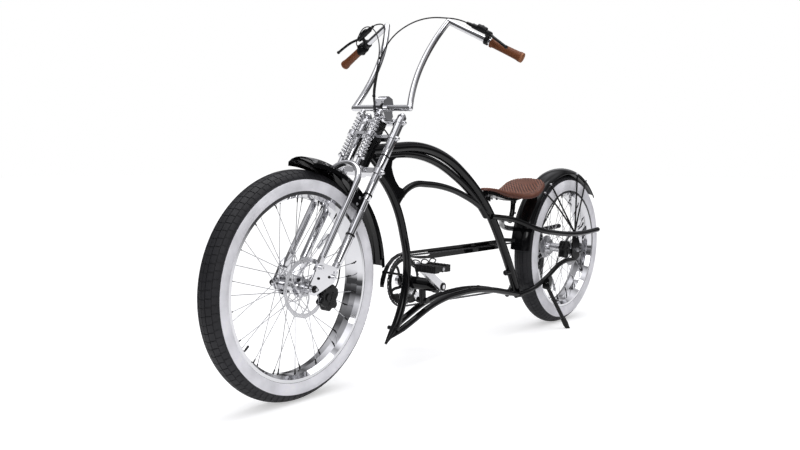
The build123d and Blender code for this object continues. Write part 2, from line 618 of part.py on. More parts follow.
# side stand
px, py, pz = STAND_PIVOT
stand_leg = bar((px, py, pz), STAND_FOOT, STAND_R)
stand_leg += across(px, pz, py - 10, py + 10, 14)
foot = Vector(*STAND_FOOT)
down = (foot - Vector(*STAND_PIVOT)).normalized()
stand_leg += bar(foot - down * 30, foot + down * 25, STAND_R + 2)
stand_leg -= across(px, pz, py - 20, py + 20, 5 + RUNNING)
floor = Rot(X=LEAN) * (Pos(0, 0, -250) * Box(6000, 2000, 500))
nodes["side_stand_leg"] = biggest(stand_leg - floor)
mount = across(px, pz, py - 18, py + 18, 5) + across(px, pz, py + 12, py + 18, 13) + across(px, pz, py - 18, py - 12, 13)
mount += plate([(250, 222), (276, 222), (276, 252), (250, 262)], py - 18, py - 12)
mount += plate([(250, 222), (276, 222), (276, 252), (250, 262)], py + 12, py + 18)
mount += plate([(250, 232), (276, 232), (276, 252), (250, 262)], py - 18, py + 18)
mount -= stay
nodes["side_stand_mount"] = biggest(mount)

# lean, centre and write
placed = {}
for name, shape in nodes.items():
    placed[name] = Rot(X=-LEAN) * shape
boxes = [s.bounding_box() for s in placed.values()]
low = [min(b.min.X for b in boxes), min(b.min.Y for b in boxes), min(b.min.Z for b in boxes)]
high = [max(b.max.X for b in boxes), max(b.max.Y for b in boxes), max(b.max.Z for b in boxes)]
shift = (-(low[0] + high[0]) / 2, -(low[1] + high[1]) / 2, -low[2])
print("shift", [round(v, 4) for v in shift], "size", [round(high[i] - low[i], 2) for i in range(3)])
for name, shape in placed.items():
    moved = Pos(*shift) * shape
    export_step(moved, f"parts/{name}.step")
    print(name, len(moved.solids()), round(moved.volume / 1000, 1))
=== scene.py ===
import bmesh
import bpy
import json
import math
from mathutils import Matrix, Vector
from mathutils.bvhtree import BVHTree


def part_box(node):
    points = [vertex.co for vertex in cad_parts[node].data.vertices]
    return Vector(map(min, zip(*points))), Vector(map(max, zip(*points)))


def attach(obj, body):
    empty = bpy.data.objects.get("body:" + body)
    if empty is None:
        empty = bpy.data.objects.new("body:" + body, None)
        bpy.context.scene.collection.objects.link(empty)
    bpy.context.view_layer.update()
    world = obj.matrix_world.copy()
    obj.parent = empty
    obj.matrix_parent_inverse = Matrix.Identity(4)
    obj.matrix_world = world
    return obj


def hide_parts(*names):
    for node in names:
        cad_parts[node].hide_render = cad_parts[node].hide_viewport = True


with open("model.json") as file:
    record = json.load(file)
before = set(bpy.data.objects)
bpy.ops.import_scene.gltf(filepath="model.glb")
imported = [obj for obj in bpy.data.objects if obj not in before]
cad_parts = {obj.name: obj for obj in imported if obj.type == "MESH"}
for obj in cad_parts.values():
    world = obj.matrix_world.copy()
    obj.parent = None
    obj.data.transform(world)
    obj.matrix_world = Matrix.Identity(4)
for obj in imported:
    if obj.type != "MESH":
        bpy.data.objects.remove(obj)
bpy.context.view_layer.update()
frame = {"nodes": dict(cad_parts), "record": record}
TAU = 2 * math.pi

# The bicycle is drawn upright, in millimetres from the rear axle: x forward, y to the rider's left, z up.
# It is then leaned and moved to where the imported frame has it.
LEAN = math.radians(1.83)
RAKE = math.radians(33.5)
WHEELBASE = 1839.3
FRONT_R, REAR_R = 386.7, 365.4
FRONT_C = Vector((WHEELBASE, 0, FRONT_R))
REAR_C = Vector((0, 0, REAR_R))
CRANK_C = Vector((1120, 0, 312))
ORIGIN = Vector((0, 0, 0))
Y = Vector((0, 1, 0))
# up the steering axis, ahead of it, and the point of it that is nearest the front axle
U = Vector((-math.sin(RAKE), 0, math.cos(RAKE)))
N = Vector((math.cos(RAKE), 0, math.sin(RAKE)))
FORK_OFFSET = 69.0
FOOT = FRONT_C - FORK_OFFSET * N
LEG_Y = 80
HANDS = (1, -1)


def lean(p):
    c, s = math.cos(LEAN), math.sin(LEAN)
    return Vector((p[0], p[1] * c + p[2] * s, -p[1] * s + p[2] * c))


low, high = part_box("front_tyre")
SHIFT = (low + high) / 2 * 1000 - lean(FRONT_C)


def P(x, y, z):
    """Row frame point in metres of a point of the upright bicycle in millimetres."""
    return (lean((x, y, z)) + SHIFT) / 1000


def upright(p):
    """Point of the upright bicycle, in millimetres, of a row frame point."""
    q = Vector(p) * 1000 - SHIFT
    c, s = math.cos(LEAN), math.sin(LEAN)
    return Vector((q.x, q.y * c - q.z * s, q.y * s + q.z * c))


def F(t, y, s):
    """Upright point at t ahead of the steering axis, y to the left and s up the axis."""
    return FOOT + t * N + s * U + Vector((0, y, 0))


# shader nodes


def node(nt, kind, **settings):
    n = nt.nodes.new("ShaderNode" + kind)
    for key, value in settings.items():
        setattr(n, key, value)
    return n


def calc(nt, operation, *values):
    """Math node whose inputs are linked or set."""
    n = node(nt, "Math", operation=operation)
    for socket, value in zip(n.inputs, values):
        if isinstance(value, float):
            socket.default_value = value
        else:
            nt.links.new(value, socket)
    return n.outputs[0]


def coords(nt):
    return node(nt, "TexCoord").outputs["Object"]


def noise(nt, scale, detail=4.0, stretch=None):
    n = node(nt, "TexNoise")
    n.inputs["Scale"].default_value = scale
    n.inputs["Detail"].default_value = detail
    v = coords(nt)
    if stretch:
        m = node(nt, "Mapping")
        m.inputs["Scale"].default_value = stretch
        nt.links.new(v, m.inputs["Vector"])
        v = m.outputs["Vector"]
    nt.links.new(v, n.inputs["Vector"])
    return n.outputs["Fac"]


def ramp(nt, fac, stops):
    r = node(nt, "ValToRGB")
    while len(r.color_ramp.elements) < len(stops):
        r.color_ramp.elements.new(0.5)
    for e, (pos, c) in zip(r.color_ramp.elements, stops):
        e.position = pos
        e.color = (*c, 1)
    nt.links.new(fac, r.inputs["Fac"])
    return r.outputs["Color"]


def spread(nt, fac, lo, hi, first=0.0, last=1.0):
    """Value that runs from lo to hi while fac runs from first to last."""
    m = node(nt, "MapRange")
    for key, value in (("From Min", first), ("From Max", last), ("To Min", lo), ("To Max", hi)):
        m.inputs[key].default_value = value
    nt.links.new(fac, m.inputs["Value"])
    return m.outputs["Result"]


def blend(nt, fac, a, b, kind="MIX"):
    """Mix of two colours. The factor and the second colour are linked or set."""
    m = node(nt, "Mix", data_type="RGBA", blend_type=kind)
    nt.links.new(a, m.inputs[6])
    for socket, value in ((m.inputs["Factor"], fac), (m.inputs[7], b)):
        if isinstance(value, (float, tuple)):
            socket.default_value = value
        else:
            nt.links.new(value, socket)
    return m.outputs[2]


def bump(nt, bsdf, height, strength, distance, before=None):
    b = node(nt, "Bump")
    b.inputs["Strength"].default_value = strength
    b.inputs["Distance"].default_value = distance
    nt.links.new(height, b.inputs["Height"])
    if before:
        nt.links.new(before, b.inputs["Normal"])
    nt.links.new(b.outputs["Normal"], bsdf.inputs["Normal"])
    return b.outputs["Normal"]


# materials


def material(name, color, rough=0.5, metal=0.0, coat=0.0, spec=0.5):
    m = bpy.data.materials.new(name)
    m.use_nodes = True
    nt = m.node_tree
    b = nt.nodes["Principled BSDF"]
    for key, value in (("Base Color", (*color, 1)), ("Roughness", rough), ("Metallic", metal),
                       ("Coat Weight", coat), ("Coat Roughness", 0.03), ("Specular IOR Level", spec)):
        b.inputs[key].default_value = value
    return m, nt, b


def finish(nt, b, roughness, shades, top=0.7):
    """Link a roughness, and a base colour that drifts between two shades of a noise's factor."""
    fac, low, high = shades
    nt.links.new(roughness, b.inputs["Roughness"])
    nt.links.new(ramp(nt, fac, [(0.3, low), (top, high)]), b.inputs["Base Color"])


def make_paint(name, color, rough):
    m, nt, b = material(name, color, rough + 0.2, coat=1.0, spec=0.0)
    b.inputs["Coat IOR"].default_value = 1.33
    bright = [c * 1.35 + 0.001 for c in color]
    finish(nt, b, spread(nt, noise(nt, 35, 5), rough * 0.7, rough * 1.5), (noise(nt, 6, 3), color, bright))
    bump(nt, b, noise(nt, 420, 2), 0.05, 0.0004)
    return m


def make_metal(name, color, lo, hi, scale, stretch, bumps):
    m, nt, b = material(name, color, lo, 1.0)
    grain = noise(nt, scale, 6, stretch)
    dull = [c * 0.94 for c in color]
    finish(nt, b, spread(nt, grain, lo, hi), (noise(nt, scale * 0.2, 3), dull, color))
    bump(nt, b, grain, bumps, 0.0002)
    return m


def make_plastic(name, color, rough=0.45, grain=900.0, strength=0.12, spec=0.4):
    m, nt, b = material(name, color, rough, spec=spec)
    bright = [c * 1.4 + 0.002 for c in color]
    worn = spread(nt, noise(nt, 30, 4), rough * 0.8, rough * 1.2)
    finish(nt, b, worn, (noise(nt, 12, 4), color, bright), 0.75)
    bump(nt, b, noise(nt, grain, 2), strength, 0.0003)
    return m


# wave length of the basket weave in metres, and how much closer its strands lie across the saddle
WEAVE = 0.034
WEAVE_ACROSS = 1.15


def make_woven(name, light, dark):
    """Leather with the crossed strands of a basket weave, with painted shade in the gaps between them and a
    painted highlight on the strand tops.
    """
    m, nt, b = material(name, light, 0.42, spec=0.35)
    axes = node(nt, "SeparateXYZ")
    nt.links.new(coords(nt), axes.inputs[0])
    x, y = axes.outputs["X"], calc(nt, "MULTIPLY", axes.outputs["Y"], WEAVE_ACROSS)
    slants = [calc(nt, "MULTIPLY", calc(nt, way, x, y), TAU / WEAVE) for way in ("ADD", "SUBTRACT")]
    cell = calc(nt, "ABSOLUTE", calc(nt, "MULTIPLY", *[calc(nt, "SINE", v) for v in slants]))
    worn = calc(nt, "MULTIPLY_ADD", noise(nt, 55, 5), 0.5, -0.25)
    shade = calc(nt, "ADD", calc(nt, "POWER", cell, 0.8), worn)
    middle = [(a + c) / 2 for a, c in zip(light, dark)]
    # the strand colour runs from painted shade in the gaps to a painted highlight on the strand tops
    woven = ramp(nt, shade, [(0.16, dark), (0.5, middle), (0.85, light)])
    plain = ramp(nt, noise(nt, 40, 4), [(0.3, [c * 0.4 for c in light]), (0.75, [c * 0.58 for c in light])])
    inside = node(nt, "Attribute", attribute_name="woven").outputs["Fac"]
    nt.links.new(blend(nt, inside, plain, woven), b.inputs["Base Color"])
    nt.links.new(spread(nt, noise(nt, 80, 4), 0.34, 0.52), b.inputs["Roughness"])
    pores = bump(nt, b, noise(nt, 900, 3), 0.25, 0.0003)
    bump(nt, b, calc(nt, "MULTIPLY", cell, inside), 0.5, 0.0012, pores)
    return m


MAKERS = {
    "gloss_black": (make_paint, (0.003, 0.003, 0.0035), 0.08),
    "chrome": (make_metal, (0.7, 0.7, 0.72), 0.03, 0.07, 40, None, 0.01),
    "bare_steel": (make_metal, (0.56, 0.56, 0.58), 0.2, 0.38, 260, (1, 1, 14), 0.05),
    "silver_alloy": (make_metal, (0.72, 0.72, 0.74), 0.16, 0.28, 180, (10, 1, 1), 0.04),
    "chain_steel": (make_metal, (0.1, 0.1, 0.105), 0.28, 0.45, 200, None, 0.05),
    "black_plastic": (make_plastic, (0.005, 0.005, 0.0055), 0.34, 900.0, 0.12, 0.25),
    "black_rubber": (make_plastic, (0.009, 0.009, 0.009), 0.5, 500.0, 0.08, 0.3),
    "tyre": (make_plastic, (0.014, 0.014, 0.0165), 0.6, 1500.0, 0.25, 0.35),
    "whitewall": (make_plastic, (0.77, 0.765, 0.8), 0.55, 700.0, 0.06),
    "brown_grip": (make_plastic, (0.165, 0.052, 0.019), 0.5, 900.0, 0.06, 0.25),
    "end_cap": (make_plastic, (0.3, 0.12, 0.055), 0.45, 800.0, 0.1, 0.3),
    # woven leather: its first colour is a painted highlight on the strands, its second painted shade in the
    # gaps
    "brown_leather": (make_woven, (0.3, 0.115, 0.072), (0.016, 0.006, 0.004)),
    "smooth_leather": (make_plastic, (0.075, 0.024, 0.016), 0.36, 650.0, 0.3, 0.35),
    "stitch": (make_plastic, (0.62, 0.5, 0.42), 0.7, 2500.0, 0.3, 0.2),
}
MAT = {name: make(name, *facts) for name, (make, *facts) in MAKERS.items()}


def soften(o, angle):
    """Smooth faces, split where they meet at more than the angle in degrees."""
    for f in o.data.polygons:
        f.use_smooth = True
    if angle:
        o.modifiers.new("edges", "EDGE_SPLIT").split_angle = math.radians(angle)


slots = {s["node"]: s["material_slot"] for s in frame["record"]["subparts"]}
for name, o in frame["nodes"].items():
    o.data.materials.clear()
    o.data.materials.append(MAT[slots[name]])
    soften(o, 35)


# mesh helpers


def add_object(name, data):
    o = bpy.data.objects.new(name, data)
    bpy.context.scene.collection.objects.link(o)
    return o


def ride(o, body, slot):
    """Material, body and slot of a new piece."""
    o.data.materials.append(MAT[slot])
    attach(o, body)


def piece(name, verts, faces, body, slot, angle, replaces=()):
    """Mesh in millimetres of the upright bicycle, set in the row frame on its body."""
    me = bpy.data.meshes.new(name)
    me.from_pydata([P(*v) for v in verts], [], faces)
    me.validate()
    bm = bmesh.new()
    bm.from_mesh(me)
    bmesh.ops.remove_doubles(bm, verts=bm.verts, dist=1e-6)
    bmesh.ops.recalc_face_normals(bm, faces=bm.faces)
    bm.to_mesh(me)
    bm.free()
    o = add_object(name, me)
    soften(o, angle)
    ride(o, body, slot)
    if replaces:
        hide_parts(*replaces)
    return o


def polar(r, a):
    return r * math.cos(a), r * math.sin(a)


def on_wheel(c, r, y, a):
    u, w = polar(r, a)
    return c.x + u, c.y + y, c.z + w


def side_on(c=ORIGIN):
    """Place for a plate that is drawn in x and z round a centre."""
    return lambda a, b, d: (c[0] + a, d, c[2] + b)


def circle(a, b, r, n):
    return [(a + u, b + w) for u, w in (polar(r, TAU * i / n) for i in range(n))]


def ring_of(count, r, hole, lag=0.0):
    """Small round holes at a radius. The lag is a share of their pitch."""
    return [circle(*polar(r, TAU * (i + lag) / count), hole, 8) for i in range(count)]


def gear(low, high, teeth):
    shares = ((0.0, low), (0.25, low), (0.42, high), (0.58, high), (0.75, low))
    return [polar(r, TAU * (i + share) / teeth) for i in range(teeth) for share, r in shares]


def arm(radius, turn, half, steps=8):
    """Outline of a curved arm. Radius, angle and half width are functions of the share along it."""
    left, right = [], []
    for q in range(steps + 1):
        f = q / steps
        (x, y), (u, v) = polar(radius(f), turn(f)), polar(half(f), turn(f))
        left.append((x - v, y + u))
        right.append((x + v, y - u))
    return right + left[::-1]


def rounded(points, cut=7.0, n=4):
    """Closed outline with its corners rounded off."""
    out = []
    for i, p in enumerate(points):
        p = Vector(p)
        a, b = Vector(points[i - 1]) - p, Vector(points[(i + 1) % len(points)]) - p
        s, e = (p + v.normalized() * min(cut, v.length * 0.45) for v in (a, b))
        for q in range(n + 1):
            f = q / n
            out.append(tuple(s * (1 - f) ** 2 + p * 2 * f * (1 - f) + e * f ** 2))
    return out


def bend(points, n=8):
    """Straight runs joined by tangent arcs, as the source bends its tubes."""
    pts = [Vector(p) for p in points]
    out = [pts[0]]
    end_share, mid_share = 0.97, 0.49
    for i in range(1, len(pts) - 1):
        a, b = pts[i] - pts[i - 1], pts[i + 1] - pts[i]
        cut = min(a.length * (end_share if i == 1 else mid_share),
                  b.length * (end_share if i == len(pts) - 2 else mid_share))
        u, v = a.normalized(), b.normalized()
        half = math.acos(max(-1, min(1, u.dot(v)))) / 2
        if half < 0.01:
            out.append(pts[i])
            continue
        centre = pts[i] + (v - u).normalized() * (cut / math.tan(half) / math.cos(half))
        start = pts[i] - u * cut
        axis = u.cross(v).normalized()
        out += [centre + Matrix.Rotation(2 * half * q / n, 3, axis) @ (start - centre) for q in range(n + 1)]
    out.append(pts[-1])
    return out


def disc(high, r, edge=1):
    """Profile of a round bar with its edges broken."""
    return [(0, r - edge), (edge, r), (high - edge, r), (high, r - edge)]


class Shape:
    """Faces gathered in millimetres of the upright bicycle."""

    def __init__(self):
        self.v, self.f = [], []

    def add(self, verts, faces):
        n = len(self.v)
        self.v += [tuple(p) for p in verts]
        self.f += [tuple(i + n for i in f) for f in faces]

    def rings(self, rings, caps=True, loop=False):
        k, n = len(rings[0]), len(rings)
        faces = []
        for i in range(n if loop else n - 1):
            j = (i + 1) % n
            for q in range(k):
                w = (q + 1) % k
                faces.append((i * k + q, i * k + w, j * k + w, j * k + q))
        if caps and not loop:
            faces += [tuple(range(k)), tuple((n - 1) * k + q for q in range(k))]
        self.add([p for r in rings for p in r], faces)

    def lathe(self, p, axis, profile, k=24):
        """Turned form: distances along the axis, each with its radius."""
        p, axis = Vector(p), Vector(axis).normalized()
        u = axis.orthogonal().normalized()
        w = axis.cross(u)
        turn = [polar(1, TAU * q / k) for q in range(k)]
        self.rings([[p + axis * a + (u * c + w * s) * max(r, 0.02) for c, s in turn] for a, r in profile])

    def bar(self, p, q, r, k=16, edge=0.6):
        p, q = Vector(p), Vector(q)
        self.lathe(p, q - p, disc((q - p).length, r, edge), k)

    def tube(self, points, r, k=14, caps=True):
        """Round bar along a line. The radius is a number or a function of the point."""
        pts = [Vector(points[0])]
        for p in points[1:]:
            if (Vector(p) - pts[-1]).length > 0.05:
                pts.append(Vector(p))
        rings, last, u = [], None, None
        for i, p in enumerate(pts):
            t = (pts[min(i + 1, len(pts) - 1)] - pts[max(i - 1, 0)]).normalized()
            u = t.orthogonal().normalized() if last is None else last.rotation_difference(t) @ u
            u = (u - t * u.dot(t)).normalized()
            w = t.cross(u)
            rad = r(p) if callable(r) else r
            turn = [polar(1, TAU * q / k) for q in range(k)]
            rings.append([p + (u * c + w * s) * rad for c, s in turn])
            last = t
        self.rings(rings, caps)

    def ball(self, p, r, k=16):
        arc = [polar(r, math.pi * i / 10) for i in range(11)]
        self.lathe(p, (0, 0, 1), [(-a, b) for a, b in arc], k)

    def flat(self, outlines, c0, c1, place=side_on(), bevel=0.3):
        """Plate with holes, from closed outlines in two numbers, set in place by place(a, b, c)."""
        cu = bpy.data.curves.new("flat", "CURVE")
        cu.dimensions = "2D"
        cu.fill_mode = "BOTH"
        cu.extrude = abs(c1 - c0) / 2 - bevel
        cu.bevel_depth = bevel
        cu.bevel_resolution = 0
        for pts in outlines:
            sp = cu.splines.new("POLY")
            sp.points.add(len(pts) - 1)
            for q, (a, b) in zip(sp.points, pts):
                q.co = (a, b, 0, 1)
            sp.use_cyclic_u = True
        o = add_object("flat", cu)
        me = bpy.data.meshes.new_from_object(o)
        mid = (c0 + c1) / 2
        verts = [place(v.co.x, v.co.y, v.co.z + mid) for v in me.vertices]
        self.add(verts, [tuple(p.vertices) for p in me.polygons])
        bpy.data.objects.remove(o)
        bpy.data.curves.remove(cu)
        bpy.data.meshes.remove(me)

    def bolt(self, p, axis, r, high):
        """Round head with a six sided socket."""
        self.lathe(p, axis, [(0, r), (high * 0.75, r), (high, r * 0.85), (high, r * 0.5)], 18)
        self.lathe(p, axis, [(high, r * 0.5), (high * 0.4, r * 0.5), (high * 0.4, 0.02)], 6)

    def done(self, name, body, slot="black_plastic", angle=40, replaces=()):
        return piece(name, self.v, self.f, body, slot, angle, replaces)


# tyres with their tread

SIZES = dict(
    front=dict(c=FRONT_C, outer=FRONT_R, half=48.9, flange=317.0, flange_y=42.2, white=355.6, white_y=47.3),
    rear=dict(c=REAR_C, outer=REAR_R, half=51.2, flange=285.4, flange_y=47.4, white=336.5, white_y=45.8),
)
CROWN_STEPS = 24
TREAD_DEPTH = 2.6
TREAD_BLOCKS = 90
TREAD_PITCH = TAU / TREAD_BLOCKS
ROUND_STEPS = 144
# each row of blocks: first and last share of the crown, lag along the tyre and filled share of a pitch
TREAD_ROWS = [(0.055, 0.2, 0.5, 0.86), (0.215, 0.37, 0.25, 0.87), (0.39, 0.494, 0.1, 0.93),
              (0.506, 0.61, 0.1, 0.93), (0.63, 0.785, 0.25, 0.87), (0.8, 0.945, 0.5, 0.86)]


def arc3(p, q, r, n):
    """n + 1 points of the arc through three points of a plane."""
    (x1, y1), (x2, y2), (x3, y3) = p, q, r
    d = 2 * (x1 * (y2 - y3) + x2 * (y3 - y1) + x3 * (y1 - y2))
    s1, s2, s3 = (x * x + y * y for x, y in (p, q, r))
    ux = (s1 * (y2 - y3) + s2 * (y3 - y1) + s3 * (y1 - y2)) / d
    uy = (s1 * (x3 - x2) + s2 * (x1 - x3) + s3 * (x2 - x1)) / d
    a0, a1, a2 = (math.atan2(y - uy, x - ux) for x, y in (p, q, r))
    middle, sweep = (a1 - a0) % TAU, (a2 - a0) % TAU
    if middle > sweep:
        sweep -= TAU
    turned = [polar(math.hypot(x1 - ux, y1 - uy), a0 + sweep * i / n) for i in range(n + 1)]
    return [(ux + a, uy + b) for a, b in turned]


def block(c, crown, row, lag):
    """Tread block: a top of four by three points that follows the crown, and its four walls."""
    u0, u1, _, fill = row
    cols, rows = 4, 3
    verts = []
    for drop in (0, TREAD_DEPTH + 0.4):
        for i in range(rows):
            for j in range(cols):
                u = u0 + (u1 - u0) * j / (cols - 1)
                k = min(CROWN_STEPS - 1, int(u * CROWN_STEPS))
                f = u * CROWN_STEPS - k
                (r0, y0), (r1, y1) = crown[k], crown[k + 1]
                slant = 0.35 * abs(u - 0.5)
                a = TREAD_PITCH * (lag + slant + fill * i / (rows - 1))
                verts.append(on_wheel(c, r0 + (r1 - r0) * f - drop, y0 + (y1 - y0) * f, a))
    n = rows * cols
    faces = []
    for i in range(rows - 1):
        for v in range(i * cols, i * cols + cols - 1):
            faces.append((v, v + 1, v + cols + 1, v + cols))
    rim = list(range(cols)) + [i * cols + cols - 1 for i in range(1, rows)]
    rim += list(range(n - 2, n - cols - 1, -1)) + [i * cols for i in range(rows - 2, 0, -1)]
    faces += [(a, b, n + b, n + a) for a, b in zip(rim, rim[1:] + rim[:1])]
    return verts, faces


def tyre(end):
    size = SIZES[end]
    c, white_r, white_y = size["c"], size["white"], size["white_y"]
    crown = arc3((white_r, white_y), (size["outer"], 0), (white_r, -white_y), CROWN_STEPS)
    lip = (size["flange"] + 0.6, size["flange_y"] + 0.4)
    wall = arc3(lip, ((size["flange"] + white_r) / 2, size["half"]), (white_r, white_y), 6)[:-1]
    seat_r, seat_y = size["flange"] - 7.6, size["flange_y"] - 3.2
    section = wall + [(r - (TREAD_DEPTH if 0 < i < CROWN_STEPS else 0), y) for i, (r, y) in enumerate(crown)]
    section += [(r, -y) for r, y in reversed(wall)] + [(seat_r, -seat_y), (seat_r, seat_y)]
    s = Shape()
    angles = [TAU * i / ROUND_STEPS for i in range(ROUND_STEPS)]
    s.rings([[on_wheel(c, r, y, a) for r, y in section] for a in angles], loop=True)
    for i in range(TREAD_BLOCKS):
        for row in TREAD_ROWS:
            s.add(*block(c, crown, row, i + row[2]))
    s.done(f"{end}_tyre_tread", f"{end}_wheel", "tyre", 40, (f"{end}_tyre",))


tyre("front")
tyre("rear")

# wheels: nipples, spoke heads, valve and reflector

RIM_DEPTH = 24
SPOKES = 36
SPOKE_ROW_Y = 14.0


def spoke_ends(size, flanges, hub_r):
    """Hub end and rim end of every spoke, as the source lays them."""
    rim_r = size["flange"] - RIM_DEPTH + 0.5
    for i in range(SPOKES):
        hand = 1 if i % 2 else -1
        outer = 1 if (i // 2) % 2 else -1
        a = TAU * i / SPOKES
        y = flanges[0] if hand > 0 else flanges[1]
        drop = (abs(y) - SPOKE_ROW_Y) / (rim_r - hub_r) * 11.0 if outer > 0 else 0
        y += hand * outer * (3.6 + drop)
        start = Vector(on_wheel(size["c"], hub_r, y, a + math.radians(58) * outer))
        yield start, Vector(on_wheel(size["c"], rim_r, hand * SPOKE_ROW_Y, a))


def wheel_fittings(end, flanges, hub_r, valve_at, reflector_r, reflector_at):
    size, body = SIZES[end], f"{end}_wheel"
    c, rim = size["c"], size["flange"] - RIM_DEPTH
    ends = list(spoke_ends(size, flanges, hub_r))
    nipples, heads, valve, reflector = Shape(), Shape(), Shape(), Shape()
    for p, q in ends:
        d = (p - q).normalized()
        nipples.lathe(q - d, d, [(0, 3.6), (2.2, 3.4), (3.5, 2.4), (15, 2.2), (16, 1.5)], 8)
        d = Y if p.y > c.y else -Y
        heads.lathe(p - d, d, [(0, 2.6), (1.6, 2.6), (2.6, 1.2)], 8)
    nipples.done(f"{end}_nipples", body)
    heads.done(f"{end}_spoke_heads", body, "bare_steel")
    a = math.radians(valve_at)
    stem = [(0, 4.4), (3, 4.4), (3.4, 3.0), (20, 3.0), (20.2, 3.8), (34, 3.8), (36, 2.6)]
    valve.lathe(on_wheel(c, rim + 2, 0, a), (-math.cos(a), 0, -math.sin(a)), stem, 12)
    valve.done(f"{end}_valve", body)

    def off(spoke):
        """How far a spoke is from the reflector's angle. The left ones count as far away."""
        q = spoke[1] - c
        turn = math.remainder(math.atan2(q.z, q.x) - math.radians(reflector_at), TAU)
        return abs(turn) + (5 if q.y > 0 else 0)

    p, q = min(ends, key=off)
    at = p + (q - p) * (reflector_r - hub_r) / (rim - hub_r)
    d = (q - p).normalized()
    wide = Y.cross(d).normalized()
    place = lambda x, y, z: at + d * x + wide * y - Y * z
    reflector.flat([[(-28, -9), (28, -9), (34, 0), (28, 9), (-28, 9), (-34, 0)]], 1.8, 6.0, place, 0.6)
    reflector.flat([circle(0, 0, 5, 10)], -2.4, 2.2, place, 0.4)
    reflector.done(f"{end}_reflector", body, "silver_alloy", 35)


wheel_fittings("front", (30, -42), 30, -41, 220, 135.7)
wheel_fittings("rear", (46, -46), 34, 160, 197, -95)


DISCS = dict(
    front=dict(c=FRONT_C, y=57.0, r=101.5, bore=18.1, arms=6),
    rear=dict(c=REAR_C, y=75.0, r=80.0, bore=21.1, arms=5),
)


def rotor(end):
    """Brake disc with a wavy edge, three rows of holes, curved arms and a bolted hub."""
    c, y, outer, inner, arms = DISCS[end].values()
    place = side_on(c)
    s, bolts = Shape(), Shape()
    n = arms * 24
    wave = 1.2
    edge = [polar(outer + wave * math.cos(TAU * i * arms * 2 / n) - wave, TAU * i / n) for i in range(n)]
    holes = []
    for i in range(arms * 6):
        for k, (r, hole) in enumerate(((outer - 5.0, 1.7), (outer - 8.4, 2.0), (outer - 11.8, 1.7))):
            holes.append(circle(*polar(r, TAU * i / (arms * 6) + (k - 1) * 0.055), hole, 8))
    s.flat([edge, circle(0, 0, outer - 15.5, 72)] + holes, y - 0.95, y + 0.95, place, 0.15)
    low, high = inner + 7, outer - 13
    for i in range(arms):
        curve = arm(lambda f: low + (high - low) * f, lambda f: TAU * i / arms + 0.75 * f ** 1.3,
                    lambda f: 4.6 - 2.0 * math.sin(math.pi * f))
        s.flat([curve], y - 0.9, y + 0.9, place, 0.2)
    hub = [circle(0, 0, inner + 11, 48), circle(0, 0, inner + 0.4, 36)] + ring_of(6, inner + 6, 1.6, 0.5)
    s.flat(hub, y - 1.0, y + 1.0, place, 0.2)
    s.done(f"{end}_rotor", f"{end}_wheel", "bare_steel", 35, (f"{end}_brake_disc",))
    for i in range(6):
        bolts.bolt(on_wheel(c, inner + 6, y + 0.9, TAU * i / 6), Y, 3.4, 2.4)
    bolts.done(f"{end}_rotor_bolts", f"{end}_wheel", "bare_steel")


rotor("front")
rotor("rear")

# brake calipers: outlines in x and z

ROCK = [(1699, 350), (1701, 368), (1714, 372), (1722, 386), (1742, 381), (1748, 375), (1766, 371), (1771, 352),
        (1764, 344), (1777, 330), (1766, 318), (1756, 316), (1752, 303), (1740, 298), (1728, 308), (1710, 306),
        (1703, 318), (1710, 332)]
ROCK_TAB = [(1728, 366), (1762, 362), (1792, 376), (1762, 391), (1736, 391)]
REAR_BODY = [(47, 392), (52, 409), (70, 406), (78, 412), (96, 410), (100, 396), (111, 381), (103, 368),
             (107, 350), (101, 335), (84, 340), (74, 332), (60, 336), (62, 352), (50, 362)]
REAR_TAB = [(30, 350), (70, 350), (70, 370), (30, 370)]


def caliper(end, body, outline, sides, tab, tab_sides):
    """Two halves over the disc, their bridge, a piston cap, seven ribs and a tab to the frame."""
    s, disc = Shape(), DISCS[end]
    inner, outer = sides
    for lo, hi in ((inner, disc["y"] - 2.6), (disc["y"] + 2.6, outer)):
        s.flat([outline], lo, hi, bevel=1.6)
    bridge = [p for p in outline if math.hypot(p[0] - disc["c"].x, p[1] - disc["c"].z) > disc["r"] + 4.5]
    s.flat([bridge], disc["y"] - 3.2, disc["y"] + 3.2, bevel=0.5)
    s.flat([tab], *tab_sides, bevel=0.8)
    n = len(outline)
    middle = Vector((sum(x for x, z in outline) / n, 0, sum(z for x, z in outline) / n))
    away = (middle - disc["c"]).normalized()
    along = Vector((-away.z, 0, away.x))
    cap = [(0, 14), (5.5, 14), (6.5, 12.6), (6.5, 10.5), (4.8, 10), (4.8, 0.02)]
    s.lathe(middle - away * 10 + Y * (outer - 1.5), Y, cap, 24)
    for k in range(-3, 4):
        p = middle + away * 14 + along * k * 7.5
        s.flat([[(-1.4, -12), (1.4, -12), (1.4, 10), (-1.4, 10)]], inner + 2, outer + 3.2,
               lambda a, b, d: p + along * a + away * b + Y * d, 0.5)
    s.done(f"{end}_caliper", body, "black_plastic", 35, (f"{end}_brake_caliper",))


caliper("front", "steering", rounded(ROCK, 4), (43.0, 75.5), rounded(ROCK_TAB, 6), (68.0, 79.7))
caliper("rear", "frame", rounded(REAR_BODY, 4), (61.0, 91.0), rounded(REAR_TAB, 5), (90.0, 95.7))
s = Shape()
for x, z in ((1741, 383), (1768, 372)):
    s.bolt((x, 79.7, z), Y, 5.2, 5)
s.bar((1709, 66, 360), (1709, 66, 379), 5.0)
s.lathe((1709.6, 66, 369.2), Y, [(-6, 6.2), (6, 6.2), (7, 5.2), (8.5, 5.0), (9.5, 3.8)], 16)
s.done("front_caliper_fittings", "steering")
s = Shape()
for x, z in ((38, 360), (62, 360)):
    s.bolt((x, 88.2, z), -Y, 5.0, 4)
s.lathe((92, 84, 405), (0.75, 0, 0.2), [(-6, 6.2), (6, 6.2), (7, 5.0), (9, 3.6)], 16)
s.done("rear_caliper_fittings", "frame")

# fork: domes, cap nuts, spring seats, bolts and the sleeves over the legs

